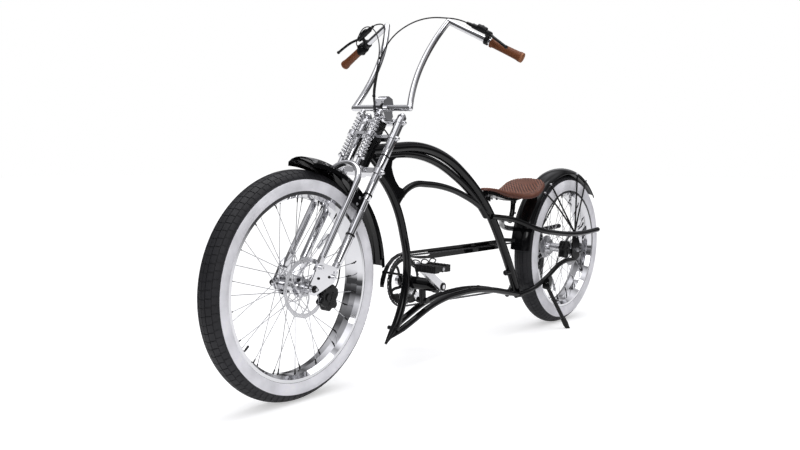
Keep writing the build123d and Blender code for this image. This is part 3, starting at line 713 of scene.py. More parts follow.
SPRING_T, SPRING_Y = 72, 40
DOME = [(0, 12.7), (3, 12.3), (6, 11.2), (9, 9.0), (11.3, 5.6), (12.5, 1.5)]
CAP_NUT = [(-2, 8.55), (2.5, 8.55), (3.5, 7.92), (7, 7.02), (10, 4.95), (11.5, 1.35)]
SPRING_PARTS = [
    (706, U, [(0, 8.5), (3, 8.2), (6, 6.5), (8.5, 3), (9.2, 0.5)], 20),
    (612, U, [(0, 18.5), (2.5, 18.5), (3.2, 17.6), (3.2, 6.2)], 28),
    (600, -U, [(0, 18.5), (2.5, 18.5), (3.2, 17.6), (3.2, 6.2)], 28),
    (508, U, [(0, 17), (3, 18), (5.5, 18), (6.5, 16.8)], 28),
    (684.5, U, [(0, 17), (1.5, 17.8), (4, 17.8), (5, 16.5)], 28),
]
LEG_SLEEVES = [
    (506.4, [(0, 15.6), (1, 16.4), (125, 16.4), (125.2, 16.4)]),
    (646.4, [(0, 16.4), (53, 16.4), (53.2, 15.8)]),
    (713.3, [(0, 15.8), (0.8, 16.6), (19, 16.6), (20.4, 15), (21, 12.8)]),
    (130, [(0, 13), (5, 14.8), (203, 14.8), (205, 14.2)]),
    (379, [(0, 14.2), (1, 14.8), (104, 14.8), (104.6, 14.2)]),
]
s = Shape()
for hand in HANDS:
    s.lathe(F(0, hand * LEG_Y, 734), U, DOME, 28)
    for up in (495, 639, 706.5):
        s.lathe(F(0, hand * 98.5, up), hand * Y, CAP_NUT, 20)
    for up, axis, profile, k in SPRING_PARTS:
        s.lathe(F(SPRING_T, hand * SPRING_Y, up), axis, profile, k)
    for ahead, up in ((71, 78), (0, 80)):
        s.bolt(F(ahead, hand * 93, up), hand * Y, 7.2, 4)
    for up in (96, 118):
        s.bolt(F(0, hand * 92.4, up), hand * Y, 4.2, 2.4)
for hand in HANDS:
    for up, profile in LEG_SLEEVES:
        s.lathe(F(0, hand * LEG_Y, up), U, profile, 32)
s.done("fork_caps", "steering", "chrome")
s = Shape()
for hand in HANDS:
    for ahead, up in ((46, 8), (62, 42), (18, 70)):
        s.bolt(F(ahead, hand * 87, up), hand * Y, 4.6, 3.4)
    s.lathe(FRONT_C + Y * hand * 96, hand * Y, [(0, 12.5), (2, 12.5), (3, 9), (9, 8.6), (11, 6)], 20)
s.done("rocker_bolts", "steering")
s = Shape()
s.lathe(F(0, 0, 506.2), U, [(0, 23), (1.2, 24), (4.6, 24), (6.8, 20.5), (7.5, 19.2)], 36)
s.lathe(F(0, 0, 631.8), -U, [(0, 22), (1, 22.8), (4.2, 22.8), (6.2, 20), (7, 19.2)], 36)
s.done("headset_cups", "steering")
s = Shape()
spacers = [(0, 17), (3, 18.2), (14, 18.2), (16, 16), (30, 15.4), (32, 17.4), (52, 17.4), (54, 15)]
s.lathe(F(0, 0, 646), U, spacers, 32)
s.done("steerer_spacers", "steering")
s = Shape()
for y in (-14, 14):
    s.bolt(F(51, y, 779), N * 0.4 + U, 4.2, 4)
    s.bolt(F(57, y, 757), N, 4.2, 4)
s.bolt(F(0, 0, 744.5), U * 0.9 - N * 0.2, 8.5, 4)
s.done("stem_bolts", "steering", "bare_steel")
s = Shape()
for hand in HANDS:
    s.tube(bend([F(ahead, hand * y, up) for ahead, y, up in (
        (12, 62, 712), (16, 62, 690), (46, 62, 676), (60, 44, 676), (66, 34, 694))]), 3.6, 12)
s.done("top_loops", "steering", "chrome")
s = Shape()
s.lathe(F(8, 22, 646.3), U, [(0, 8.6), (3, 8.6), (4, 7.4), (14, 6.6), (15, 5.4), (20, 4.4), (20.4, 3.2)], 24)
s.done("cable_boot", "steering", "black_rubber")
s = Shape()
s.lathe(F(18, 70, 336), U, [(0, 5), (4, 5)], 12)
for hand in HANDS:
    for up in (344, 369):
        s.bolt(F(36, hand * 84, up), hand * Y, 4.6, 3.6)
s.done("bracket_bolts", "steering", "bare_steel")

# handlebar controls, placed along the left grip, ahead of it and above it, and mirrored to the right

GRIP_START = Vector((1157.5, 307.3, 1236.2))
ALONG, AHEAD = Vector((-0.2194, 0.8744, -0.4325)), Vector((0.9757, 0.1966, -0.0972))
LIFT = Vector((0, 0.4433, 0.8963))
RIGHT_LEVER_BACK = 26


def at_grip(hand, a, f=0.0, u=0.0):
    p = GRIP_START + ALONG * a + AHEAD * f + LIFT * u
    return Vector((p.x, hand * p.y, p.z))


def grip_dir(hand, a, f=0.0, u=0.0):
    return at_grip(hand, a, f, u) - at_grip(hand, 0)


LEVER_TURNED = [
    # place along, ahead and above, whether it stands up, profile and sides
    ((-84, 22, 28), False, [(0, 7.5), (2, 9.4), (40, 9.6), (78, 9.6), (82, 8.4), (84, 6)], 24),
    ((-64, 22, 33), False, [(0, 7), (2, 10.8), (4, 11.5), (36, 11.5), (38, 10.8), (40, 7)], 24),
    ((-108, 22, 28), False, [(0, 3.8), (1.5, 5.4), (10, 5.4), (12, 6.4), (22, 6.6), (26, 8.4)], 18),
    ((-8, 24, 22), True, disc(14, 7), 18),
    ((-44, 22, 44), True, [(0, 4), (1.4, 4), (2, 3)], 12),
]
levers, blades = Shape(), Shape()
for hand in HANDS:
    back = 0 if hand > 0 else -RIGHT_LEVER_BACK
    g = lambda a, f=0.0, u=0.0: at_grip(hand, a + back, f, u)
    along, upward = grip_dir(hand, 1), grip_dir(hand, 0, 0, 1)
    levers.lathe(g(-25), along, disc(16, 16.6), 28)
    levers.tube([g(-17, 8, 10), g(-20, 14, 18), g(-22, 20, 26)], 7.2, 12)
    for at, stands, profile, k in LEVER_TURNED:
        levers.lathe(g(*at), upward if stands else along, profile, k)
    blades.tube(bend([g(-8, 24, 28), g(4, 36, 28), g(20, 50, 27), g(50, 62, 24), g(82, 72, 20)], 5), 5.0, 14)
    blades.ball(g(84, 72.6, 19.8), 6.6, 18)
levers.done("lever_bodies", "steering", replaces=("brake_levers",))
blades.done("lever_blades", "steering", replaces=("brake_levers",))
s = Shape()
g = lambda a, f=0.0, u=0.0: at_grip(-1, a, f, u)
s.lathe(g(-26), grip_dir(-1, 1), [(0, 17), (1.5, 20.6), (5, 21), (20, 21), (23.5, 20), (25, 17)], 32)
for q in range(20):
    rib = polar(20.6, TAU * q / 20)
    s.bar(g(-19, *rib), g(-7, *rib), 1.2, 6, 0.3)
s.lathe(g(-13, 4, -14), grip_dir(-1, 0, 1), [(0, 15), (2, 17), (22, 17), (25, 13)], 28)
s.tube([g(-20, 14, 0), g(-21, 24, 1), g(-22, 34, 2)], 6.0, 14)
s.done("gear_shifter", "steering")

s, caps = Shape(), Shape()
grip = [(0, 16.4), (0.8, 17.8), (7, 17.8), (9, 15.4)]
grip += [(10 + q * 6.4, 15.2 + 1.5 * (q / 16) ** 3) for q in range(17)]
grip += [(114, 16.4), (120, 18.2), (125, 18.6), (128, 18.2)]
for hand in HANDS:
    s.lathe(at_grip(hand, 0), grip_dir(hand, 1), grip, 32)
    caps.lathe(at_grip(hand, 128), grip_dir(hand, 1),
               [(0, 18.4), (4.5, 18.4), (6, 17), (6.4, 11), (5.4, 10), (5.4, 0.02)], 32)
s.done("grip_sleeves", "steering", "brown_grip", 30, ("grips",))
caps.done("grip_ends", "steering", "end_cap", 40, ("grips",))

# hoses and the gear cable


def hose(name, points, radius, body="steering"):
    cu = bpy.data.curves.new(name, "CURVE")
    cu.dimensions = "3D"
    cu.bevel_depth = radius / 1000
    cu.bevel_resolution = 3
    cu.use_fill_caps = True
    sp = cu.splines.new("NURBS")
    sp.points.add(len(points) - 1)
    rows = [P(*p) for p in points]
    for q, p in zip(sp.points, rows):
        q.co = (*p, 1)
    sp.order_u = 3
    sp.use_endpoint_u = True
    sp.resolution_u = 8
    o = add_object(name, cu)
    ride(o, body, "black_rubber")
    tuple(rows[0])


HOSE_R, CABLE_R = 2.5, 2.1
LEFT_HOSE = [at_grip(1, *p) for p in ((-104, 22, 28), (-125, 26, 28), (-155, 30, 22))] + [F(*p) for p in (
    (62, 165, 1129), (109, 110, 1100), (140, 60, 1050), (151, 12, 979), (129, -18, 902), (105, -10, 803),
    (86, -8, 763), (74, 14, 705), (52, 24, 668), (20, 46, 664), (-21, 62, 640), (-21, 66, 560),
    (-20, 66, 400), (-20, 66, 240), (-20, 66, 152))] + [(1689.2, 66, 383.6), (1709.6, 66, 369.2)]
RIGHT_HOSE = [at_grip(-1, *p) for p in ((-130, 22, 28), (-150, 26, 26))] + [F(*p) for p in (
    (62, -150, 1128), (79, -105, 1060), (106, -55, 978), (123.5, -20, 902), (99.5, -12, 803), (80.5, -10, 763),
    (58, 8, 704), (12, 18, 694), (8, 18, 664))]
GEAR_CABLE = [at_grip(-1, *p) for p in ((-22, 30, 2), (-24, 50, 4))] + [F(*p) for p in (
    (50, -270, 1112), (61, -240, 1122), (74, -190, 1102), (91, -130, 1052), (110, -70, 980), (128, -24, 902),
    (104, -16, 803), (85, -14, 763), (63, 14, 698), (14, 26, 690), (8, 26, 664))]
REAR_HOSE = [(98, 84, 406), (128, 84, 390), (176, 99, 352), (196, 99, 318), (190, 98, 300)]
hose("left_brake_hose", LEFT_HOSE, HOSE_R)
hose("right_brake_hose", RIGHT_HOSE, HOSE_R)
hose("gear_cable", GEAR_CABLE, CABLE_R)
hose("rear_brake_hose", REAR_HOSE, HOSE_R, "frame")
s = Shape()
for ahead, y, up in ((129, -19, 902), (86, -9, 763)):
    s.lathe(F(ahead, y, up - 3), U, [(0, 5.5), (0.8, 6.5), (5.2, 6.5), (6, 5.5)], 18)
for up in (560, 400, 240):
    s.bar(F(-20, 66, up - 4), F(-20, 66, up + 4), 4.2, 12)
    s.lathe(F(0, LEG_Y, up - 3.5), U, [(0, 16), (0.8, 17), (6.2, 17), (7, 16)], 28)
s.done("hose_ties", "steering")

# chain, ring, cogs and gear changer

CHAIN_Y, PITCH = -90, 12.7
# centre, radius of the chain's line and way round: ring, smallest cog, upper and lower jockey wheel
ROUNDS = [((1120, 312), 102.2, -1), ((0, REAR_R), 33.2, -1), ((-6, 288), 17.5, 1), ((22, 190), 20.6, -1)]


def belt():
    """Closed path round the ring, the cog and the two jockey wheels."""
    legs = []
    for i, (c1, r1, s1) in enumerate(ROUNDS):
        c2, r2, s2 = ROUNDS[(i + 1) % len(ROUNDS)]
        d = Vector(c2) - Vector(c1)
        delta = math.atan2(d.y, d.x) - math.asin((s1 * r1 - s2 * r2) / d.length)
        n = Vector((-math.sin(delta), math.cos(delta)))
        legs.append((Vector(c1) + n * s1 * r1, Vector(c2) + n * s2 * r2))
    pts = []
    for i, (c, r, way) in enumerate(ROUNDS):
        arrive, leave = legs[i - 1][1] - Vector(c), legs[i][0] - Vector(c)
        a0, a1 = math.atan2(arrive.y, arrive.x), math.atan2(leave.y, leave.x)
        sweep = (a0 - a1) * way % TAU
        steps = max(2, int(sweep / 0.06))
        pts += [Vector(c) + Vector(polar(r, a0 - way * sweep * q / steps)) for q in range(steps + 1)]
    return pts + pts[:1]


def chain_pins():
    """Even places of the pins along the belt, an even number of them."""
    path = belt()
    run = [0.0]
    for a, b in zip(path, path[1:]):
        run.append(run[-1] + (b - a).length)
    count = 2 * round(run[-1] / PITCH / 2)
    pins, j = [], 0
    for i in range(count):
        want = run[-1] * i / count
        while run[j + 1] < want:
            j += 1
        f = (want - run[j]) / max(1e-9, run[j + 1] - run[j])
        pins.append(path[j] + (path[j + 1] - path[j]) * f)
    return pins


def chain():
    s, pins = Shape(), chain_pins()
    for i, a in enumerate(pins):
        b = pins[(i + 1) % len(pins)]
        d = (b - a).normalized()
        n, middle = Vector((-d.y, d.x)), (a + b) / 2
        plate = []
        for c, first, waist in ((a, 90, -2.6), (b, -90, 2.6)):
            turns = [polar(3.9, math.radians(first + q * 45)) for q in range(5)]
            plate += [c + d * u + n * w for u, w in turns] + [middle + n * waist]
        near, far = (2.9, 3.7) if i % 2 else (1.9, 2.7)
        for hand in HANDS:
            s.rings([[(p.x, CHAIN_Y + hand * off, p.y) for p in plate] for off in (near, far)])
        s.lathe((a.x, CHAIN_Y - 2.6, a.y), Y, [(0, 3.0), (5.2, 3.0)], 8)
        s.lathe((a.x, CHAIN_Y - 4.2, a.y), Y, disc(7.8, 1.7, 0.4), 6)
    s.done("chain_links", "frame", "chain_steel", 40, ("chain",))


chain()
RING_ROOT, RING_TIP, RING_TEETH = 95.0, 100.2, 50
s = Shape()
place = side_on(CRANK_C)
s.flat([gear(RING_ROOT, RING_TIP, RING_TEETH), circle(0, 0, 82, 60)], -91.2, -88.8, place)
for i in range(5):
    curve = arm(lambda f: 18 + 66 * f, lambda f: math.radians(72 * i + 20) + 0.55 * math.sin(f * 1.9),
                lambda f: 7.5 - 3.4 * f + 1.5 * f * f)
    s.flat([curve], -91.4, -88.4, place, 0.4)
s.flat([circle(0, 0, 25, 36), circle(0, 0, 12.3, 24)], -92, -87.6, place, 0.5)
s.lathe((CRANK_C.x, -107.7, CRANK_C.z), Y, [(0, 12.4), (0, 21), (1, 22), (16, 22), (17, 21), (17, 12.4)], 36)
s.done("toothed_ring", "crank", "black_plastic", 30, ("chainring",))
# y and radius of each cog. The chain lies on the smallest one, and only that one has full teeth.
SMALLEST = 28
COGS = ((CHAIN_Y, SMALLEST), (-85, 33), (-80, 38), (-75, 44), (-70, 50), (-65, 57))
s = Shape()
for y, r in COGS:
    teeth = gear(r - 2.2, r + (1.8 if r == SMALLEST else 0.0), round(TAU * (r + 1.5) / PITCH))
    s.flat([teeth, circle(0, 0, 22.0, 30)] + (ring_of(9, r - 9, 3.0) if r > 33 else []), y - 0.9, y + 0.9,
           side_on(REAR_C), 0.2)
s.lathe((0, -91, REAR_R), Y, [(0, 21.4), (0, 23), (1, 24.5), (28, 24.5), (29, 23), (29, 21.4)], 32)
s.done("toothed_sprockets", "rear_wheel", "bare_steel", 30, ("rear_sprockets",))

s = Shape()
cage = rounded([(-24, 302), (-2, 312), (12, 300), (38, 204), (34, 176), (14, 170), (2, 186), (-20, 270)], 10)
hole = rounded([(0, 270), (10, 268), (22, 214), (12, 210)], 4)
for y in (-96.2, -85.2):
    s.flat([cage, hole], y, y + 1.4)
s.done("changer_cage", "frame", "black_plastic", 35, ("gear_changer",))
s = Shape()
hanger = rounded([(-14, 374), (10, 376), (14, 350), (6, 318), (-12, 322), (-18, 350)], 7)
s.flat([hanger], -106, -102.6, bevel=0.6)
s.lathe((-2, -108, 330), Y, [(0, 9), (1.5, 11.5), (22, 11.5), (24, 10)], 28)
s.flat([rounded([(-16, 336), (10, 336), (14, 300), (4, 282), (-18, 290)], 8)], -112, -100, bevel=2.0)
s.flat([rounded([(-12, 326), (6, 326), (8, 302), (-12, 300)], 5)], -115, -111.5, bevel=1.0)
s.lathe((-6, -108, 288), Y, [(0, 11), (1.5, 13), (9, 13), (11, 11.5)], 28)
s.bolt((-2, -108, 330), -Y, 6, 3)
s.bolt((-6, -108, 288), -Y, 5, 2.5)
s.done("changer_body", "frame", "black_plastic", 35, ("gear_changer",))
s = Shape()
for (x, z), _, _ in ROUNDS[2:]:
    wheel = [gear(14.5, 18.5, 10), circle(0, 0, 4.2, 14)] + ring_of(6, 9.2, 2.0)
    s.flat(wheel, -91.2, -88.8, side_on((x, 0, z)))
    s.lathe((x, -97.5, z), Y, [(0, 3), (1, 4.4), (14, 4.4), (15, 3)], 16)
s.done("jockey_pair", "frame", "black_plastic", 35, ("jockey_wheel",))

# chain guard


def round_crank(a, r):
    """Point in x and z at an angle in degrees and a radius round the crank."""
    x, z = polar(r, math.radians(a))
    return CRANK_C.x + x, CRANK_C.z + z


def split(points, n):
    """The same line with each run cut into n."""
    pts = [Vector(p) for p in points]
    cut = [a * (1 - q / n) + b * q / n for a, b in zip(pts, pts[1:]) for q in range(n)]
    return [tuple(p) for p in cut + pts[-1:]]


front_rim = split([round_crank(a, r) for a, r in (
    (-4, 137), (0, 138.5), (10, 137), (20, 133), (35, 128), (54, 122), (73, 117), (88, 116))], 2)
flange = front_rim + [(1086, 428), (700, 426), (392, 425)]
under = [(385, 416), (385, 392), (390, 384), (404, 383), (900, 385), (1000, 391), (1060, 401)] + [
    round_crank(a, r) for a, r in ((80, 104), (60, 104), (40, 106), (20, 108), (0, 114), (-5, 116))]
round_slot = [round_crank(a, r) for a, r in (
    (12, 131), (24, 127), (38, 122), (52, 118), (52, 111), (38, 113), (24, 116), (12, 121))]
long_slot = rounded([(930, 404), (950, 399), (1080, 408), (1095, 413), (1080, 417), (950, 416)], 5)
s = Shape()
GUARD_OUT, GUARD_IN = -102.5, -100.3
s.flat([flange + under, round_slot, long_slot], GUARD_OUT, GUARD_IN, bevel=0.4)
for p, q in zip(flange, flange[1:]):
    a, b = Vector(p), Vector(q)
    n = Vector((-(b - a).y, (b - a).x)).normalized()
    if n.dot(a - Vector((1000, 300))) > 0:
        n = -n
    s.rings([[(v.x, y, v.y) for v in (a, b, b + n * 2.4, a + n * 2.4)] for y in (-102.3, -85.0)])
s.flat([rounded([(1224, 366), (1250, 366), (1250, 350), (1224, 350)], 6)], GUARD_IN, -97, bevel=0.4)
for x, z, start, end in ((1236, 359, -100, -12), (504, 418, -101, -14)):
    s.bar((x, start, z), (x, end, z), 4.5, 14)
    s.bolt((x, -102.3, z), -Y, 6, 3)
for cx, cz, wide, high in ((1030, 374, 27, 14), (968, 372, 25, 13), (912, 373, 22, 11)):
    turns = [polar(1, q * math.pi / 12) for q in range(24)]
    loop = [(cx + wide * c * (1 + 0.12 * u), -101, cz + high * u * (1 + 0.35 * c)) for c, u in turns]
    s.tube(loop + loop[:1], 2.6, 8, False)
s.done("guard_sheet", "frame", "gloss_black", 30, ("chain_guard",))

# crank caps and pedal studs

ARM_LENGTH = 175
PEDAL_AT = Vector((ARM_LENGTH * math.cos(math.radians(33)), 0, ARM_LENGTH * math.sin(math.radians(33))))
s = Shape()
s.lathe(CRANK_C + Y * 102, Y, [(0, 16), (3, 16), (4, 14.6), (4.6, 9), (3.4, 8.4), (3.4, 0.02)], 28)
s.lathe(CRANK_C - Y * 124, -Y, [(0, 14), (1.4, 14), (2, 12)], 28)
for hand, y in ((1, 102), (-1, 124)):
    s.lathe(CRANK_C + hand * PEDAL_AT + hand * Y * y, Y * hand, [(0, 9.4), (1.4, 9.4), (1.4, 7)], 20)
s.done("crank_caps", "crank")
for side, hand, inner in (("left", 1, 110.5), ("right", -1, 132.5)):
    s = Shape()
    at = CRANK_C + hand * PEDAL_AT + Y * hand * inner
    for up in HANDS:
        for fore in HANDS:
            for k in range(6):
                for q in range(3):
                    stud = at + Vector((fore * (26 + q * 8), hand * (8 + k * 15), up * 12.6))
                    s.lathe(stud, (0, 0, up), [(0, 2.9), (1.6, 2.5), (2.0, 1.8)], 8)
    for fore in HANDS:
        for k in range(8):
            rib = at + Y * hand * (6 + k * 11.4)
            corners = ((-1.6, -9), (1.6, -9), (1.6, 9), (-1.6, 9))
            s.rings([[rib + Vector((fore * x, w, z)) for w, z in corners] for x in (47.6, 49.2)])
    s.done(f"pedal_{side}_studs", f"{side}_pedal", "black_rubber")

# rear fender and its stays: half of the section from the crown to the edge and back inside

CROWN_R, HALF, EDGE_R, SHEET = 392.0, 48.0, 366.0, 2.2
# angles in degrees round the rear axle
FENDER_FROM, FENDER_SWEEP = 3, 136
outside = [(0, 0), (0.6, 0.2), (2.2, 0.4), (5.2, 0.6), (9.5, 0.78), (15, 0.92), (20, 1)]
half_out = [(CROWN_R - drop, HALF * share) for drop, share in outside] + [(EDGE_R, HALF)]
inside = [(20 + SHEET, 1, 1), (16, 0.92, 1), (11.5, 0.78, 0.6), (7.4, 0.6, 0.3),
          (4.4, 0.4, 0), (2.8, 0.2, 0), (SHEET, 0, 0)]
half_in = [(EDGE_R, HALF - SHEET)]
half_in += [(CROWN_R - drop, HALF * share - SHEET * less) for drop, share, less in inside]
section = half_out + half_in
section += [(r, -y) for r, y in reversed(half_in[:-1])] + [(r, -y) for r, y in reversed(half_out[1:])]


def fender_at(r, y, f):
    return on_wheel(REAR_C, r, y, math.radians(FENDER_FROM + FENDER_SWEEP * f))


s = Shape()
s.rings([[fender_at(r, y, i / 72) for r, y in section] for i in range(73)])
for hand in HANDS:
    s.tube([fender_at(EDGE_R + 0.5, hand * (HALF - 0.6), i / 48) for i in range(49)], 2.3, 8)
s.flat([rounded([(380, 437), (520, 451), (514, 435), (382, 421)], 5)], -10, 10, bevel=0.5)
s.done("rear_fender_sheet", "frame", "gloss_black", 30, ("rear_fender",))
s, bolts = Shape(), Shape()
# angle at the fender, then radius, angle and y of the bend
STAYS = ((49.3, 286.8, 54.2, 67), (59.5, 224, 63.6, 73), (101.7, 227, 98, 73), (117, 223, 110.6, 73))
for hand in HANDS:
    for at, r, a, y in STAYS:
        at = math.radians(at)
        root = (12 if a < 80 else 6, hand * 93, 452)
        elbow = on_wheel(REAR_C, r, hand * y, math.radians(a))
        s.tube(bend([root, elbow, on_wheel(REAR_C, 372, hand * 51.4, at)]), 4.0, 12)
        bolts.bolt(on_wheel(REAR_C, 370.5, hand * 47.6, at), hand * Y, 5.6, 8.6)
    s.lathe((9, hand * 86, 452), hand * Y, disc(10, 9), 20)
s.done("fender_stay_rods", "frame", "gloss_black", 40, ("rear_fender_stays",))
bolts.done("fender_stay_bolts", "frame", "bare_steel")

# frame: the pointed keel, domed tube ends and bottle bosses

ARCH_R, LOWER_R, MIDDLE_R = 16, 12.5, 13
KEEL_TIP = Vector((1342, 0, 107))
LOWER_LINE = Vector((1206, 0, 167)), Vector((129, 0, -49)).normalized()


def in_keel(p):
    """Above the lower tubes, and clear of the steerer's bore."""
    start, d = LOWER_LINE
    t, up = (p - FOOT).dot(N), (p - FOOT).dot(U)
    return (p - start).dot(Vector((d.z, 0, -d.x))) < 11 and (abs(t) > 17.5 or not 500 < up < 640)


def keel_radius(p):
    """Full down to z 165, then it thins towards the tip."""
    return ARCH_R if p.z > 165 else ARCH_R * max(0.16, min(1.0, (p.z - 101) / 64)) ** 0.6


def lower_radius(p):
    """Full back to x 1262, then it thins towards the tip."""
    return LOWER_R if p.x < 1262 else LOWER_R - 8.5 * (p.x - 1262) / 76


s = Shape()
arch = bend([(1478, 0, 812), (1298, 0, 665), (1211, 0, 405), (1240, 0, 240), (1344, 0, 66)], 22)
arch = [p for p in arch if in_keel(p)]
taper = [arch[-1] + (KEEL_TIP - arch[-1]) * f for f in (0.25, 0.5, 0.75, 0.92, 1.0)]
s.tube(arch + taper, keel_radius, 24)
for hand in HANDS:
    lower = [(1318, 3, 128), (1264, 23, 158), (1035, 25, 244), (719, 25, 253), (394, 25, 182)]
    lower = bend([(x, hand * y, z) for x, y, z in lower], 12)
    s.tube([Vector((1338, 0, 112))] + lower, lower_radius, 20)
s.bar((1296, -25, 160), (1296, 25, 160), 8)
s.bar((405, -30, 185), (405, 30, 185), 10)
s.lathe((484, 0, 290), (1, 0, 0), [(-50, 13), (0, 13), (5, 12.2), (9, 9.6), (12, 5.4), (13, 1)], 24)
s.ball((672, 0, 560), 14.2, 24)
for x in (812.5, 748.5):
    s.lathe((x, 25, 263), (0, 0, 1), [(0, 7), (3, 6.4), (3.6, 5.2), (3.6, 2.4), (1, 2.2)], 18)
middle_arch = [(1303, 0, 628), (1246, 0, 716), (968, 0, 696), (728, 0, 613), (642, 0, 557)]
s.tube(bend(middle_arch, 14), MIDDLE_R, 22)
s.done("keel", "frame", "gloss_black", 40, ("frame_front_arch", "frame_lower_tubes", "frame_middle_arch"))

# small bolts at the seat, the strut, the axle and the stand

STAND_PIVOT, STAND_FOOT = Vector((262, 92, 214)), Vector((141, 143, 9))
s = Shape()
for hand in HANDS:
    s.bolt((676, hand * 10, 647), hand * Y, 5.5, 6)
    s.bolt((605, hand * 10, 630), hand * Y, 5.5, 6)
    s.bolt((443, hand * 11, 560), hand * Y, 5, 4)
    s.bolt(STAND_PIVOT + hand * Y * 18, hand * Y, 6.4, 4)
    s.lathe((470, hand * 38, 530), hand * Y, [(0, 11), (3, 11), (4, 9)], 18)
    s.bolt((6, hand * 101.8, 430), hand * Y, 5.0, 3)
    s.bolt(REAR_C + hand * Y * 110, hand * Y, 8.8, 4)
s.done("frame_bolts", "frame", "bare_steel")
s = Shape()
s.ball((438, 0, 612), 12.5, 20)
s.done("strut_head", "frame")
s = Shape()
down = (STAND_FOOT - STAND_PIVOT).normalized()
s.lathe(STAND_FOOT - down * 56, down, [(0, 9.6), (2, 12.4), (34, 13.2), (44, 12.4), (47, 9)], 20)
s.lathe(STAND_PIVOT - Y * 11, Y, disc(22, 15), 24)
s.done("stand_foot", "side_stand")

# saddle: a thin dished shell of padded leather with a rolled edge

# half widths, and heights of the rim and of the underside, along x
PLAN = [(298, 18), (300, 44), (306, 68), (318, 89), (338, 104), (366, 112), (405, 115), (440, 111), (470, 101),
        (505, 84), (540, 67), (580, 51), (620, 41), (660, 35), (685, 28), (699, 17), (704, 7)]
TOPS = [(298, 724), (350, 701), (410, 669), (480, 658), (560, 668), (640, 684), (705, 690)]
BOTTOMS = [(298, 706), (350, 672), (410, 641), (480, 629), (560, 641), (640, 661), (705, 669)]


def lookup(table, x):
    """Smooth curve through a table of values."""
    n = len(table)
    slopes = []
    for i in range(n):
        a, b = table[max(i - 1, 0)], table[min(i + 1, n - 1)]
        slopes.append((b[1] - a[1]) / (b[0] - a[0]))
    x = max(table[0][0], min(table[-1][0], x))
    for i in range(n - 1):
        (x0, v0), (x1, v1) = table[i], table[i + 1]
        if x <= x1:
            w = x1 - x0
            f = (x - x0) / w
            return ((2 * f ** 3 - 3 * f ** 2 + 1) * v0 + (f ** 3 - 2 * f ** 2 + f) * w * slopes[i]
                    + (3 * f ** 2 - 2 * f ** 3) * v1 + (f ** 3 - f ** 2) * w * slopes[i + 1])


def clamp(v):
    return max(0.0, min(1.0, v))


def saddle_base():
    """Closed shell a little inside the solid that it stands for: dished, with its rim curled down."""
    cols, rows = 40, 24
    rim, curled = 0.8, 0.2
    tops, lows = [], []
    for i in range(cols + 1):
        x = 300 + 403 * (0.5 - 0.5 * math.cos(math.pi * i / cols))
        w, top, bottom = lookup(PLAN, x) - 5, lookup(TOPS, x) - 4, lookup(BOTTOMS, x) + 3
        dish = top - bottom - 6
        fore, back = clamp((x - 520) / 120), clamp((345 - x) / 45)
        for j in range(rows + 1):
            v = math.sin((-1 + 2 * j / rows) * math.pi / 2)
            rise = (min(abs(v), rim) / rim) ** 2.2 * (1 - fore * 0.55) + fore * 0.45
            rise = rise * (1 - back) + back
            curl = max(0.0, (abs(v) - rim) / curled)
            z = bottom + 6 + dish * rise
            z -= (z - bottom) * 0.62 * (1 - math.sqrt(max(0.0, 1 - curl ** 2)))
            tops.append((x, v * w, z))
            lows.append((x, v * (w - 3), bottom + curl))
    k, n = rows + 1, len(tops)
    faces = []
    for i in range(cols):
        for a in range(i * k, i * k + rows):
            faces += [(a, a + 1, a + k + 1, a + k), (n + a, n + a + k, n + a + k + 1, n + a + 1)]
    for i in range(cols):
        a, b = i * k, i * k + rows
        faces += [(a, a + k, n + a + k, n + a), (b, n + b, n + b + k, b + k)]
    for j in range(rows):
        a = cols * k + j
        faces += [(j, n + j, n + j + 1, j + 1), (a, a + 1, n + a + 1, n + a)]
    return tops + lows, faces


def apply_all(o):
    """Turn the modifiers of an object into its mesh."""
    me = bpy.data.meshes.new_from_object(o.evaluated_get(bpy.context.evaluated_depsgraph_get()))
    o.modifiers.clear()
    old, o.data = o.data, me
    bpy.data.meshes.remove(old)


def swell(o, pressure=4.0, frames=20, most=0.003):
    """Puff the leather up as cloth under pressure, each point by no more than the most in metres."""
    start = [v.co.copy() for v in o.data.vertices]
    cloth = o.modifiers.new("cloth", "CLOTH")
    cloth.settings.use_pressure = True
    cloth.settings.uniform_pressure_force = pressure
    cloth.settings.effector_weights.gravity = 0.0
    cloth.settings.quality = 4
    cloth.point_cache.frame_start = 1
    cloth.point_cache.frame_end = frames
    for frame_no in range(1, frames + 1):
        bpy.context.scene.frame_set(frame_no)
    puffed = o.evaluated_get(bpy.context.evaluated_depsgraph_get())
    moved = [v.co.copy() for v in puffed.to_mesh().vertices]
    puffed.to_mesh_clear()
    o.modifiers.clear()
    bpy.context.scene.frame_set(1)
    for v, a, b in zip(o.data.vertices, start, moved):
        d = b - a
        v.co = a + (d if d.length < most else d.normalized() * most)


def press_weave(o):
    """Push the strands of the material's weave out of the upper side, and mark where they lie."""
    o.data.update()
    mask = o.data.attributes.new("woven", "FLOAT", "POINT")
    pushed = []
    for v in o.data.vertices:
        inside = clamp((v.normal.z - 0.76) / 0.08)
        mask.data[v.index].value = inside
        x, y = v.co.x, v.co.y * WEAVE_ACROSS
        cell = abs(math.sin(TAU / WEAVE * (x + y)) * math.sin(TAU / WEAVE * (x - y)))
        pushed.append(v.normal * ((cell ** 0.5 - 0.6) * 0.0022 * inside))
    for v, push in zip(o.data.vertices, pushed):
        v.co += push


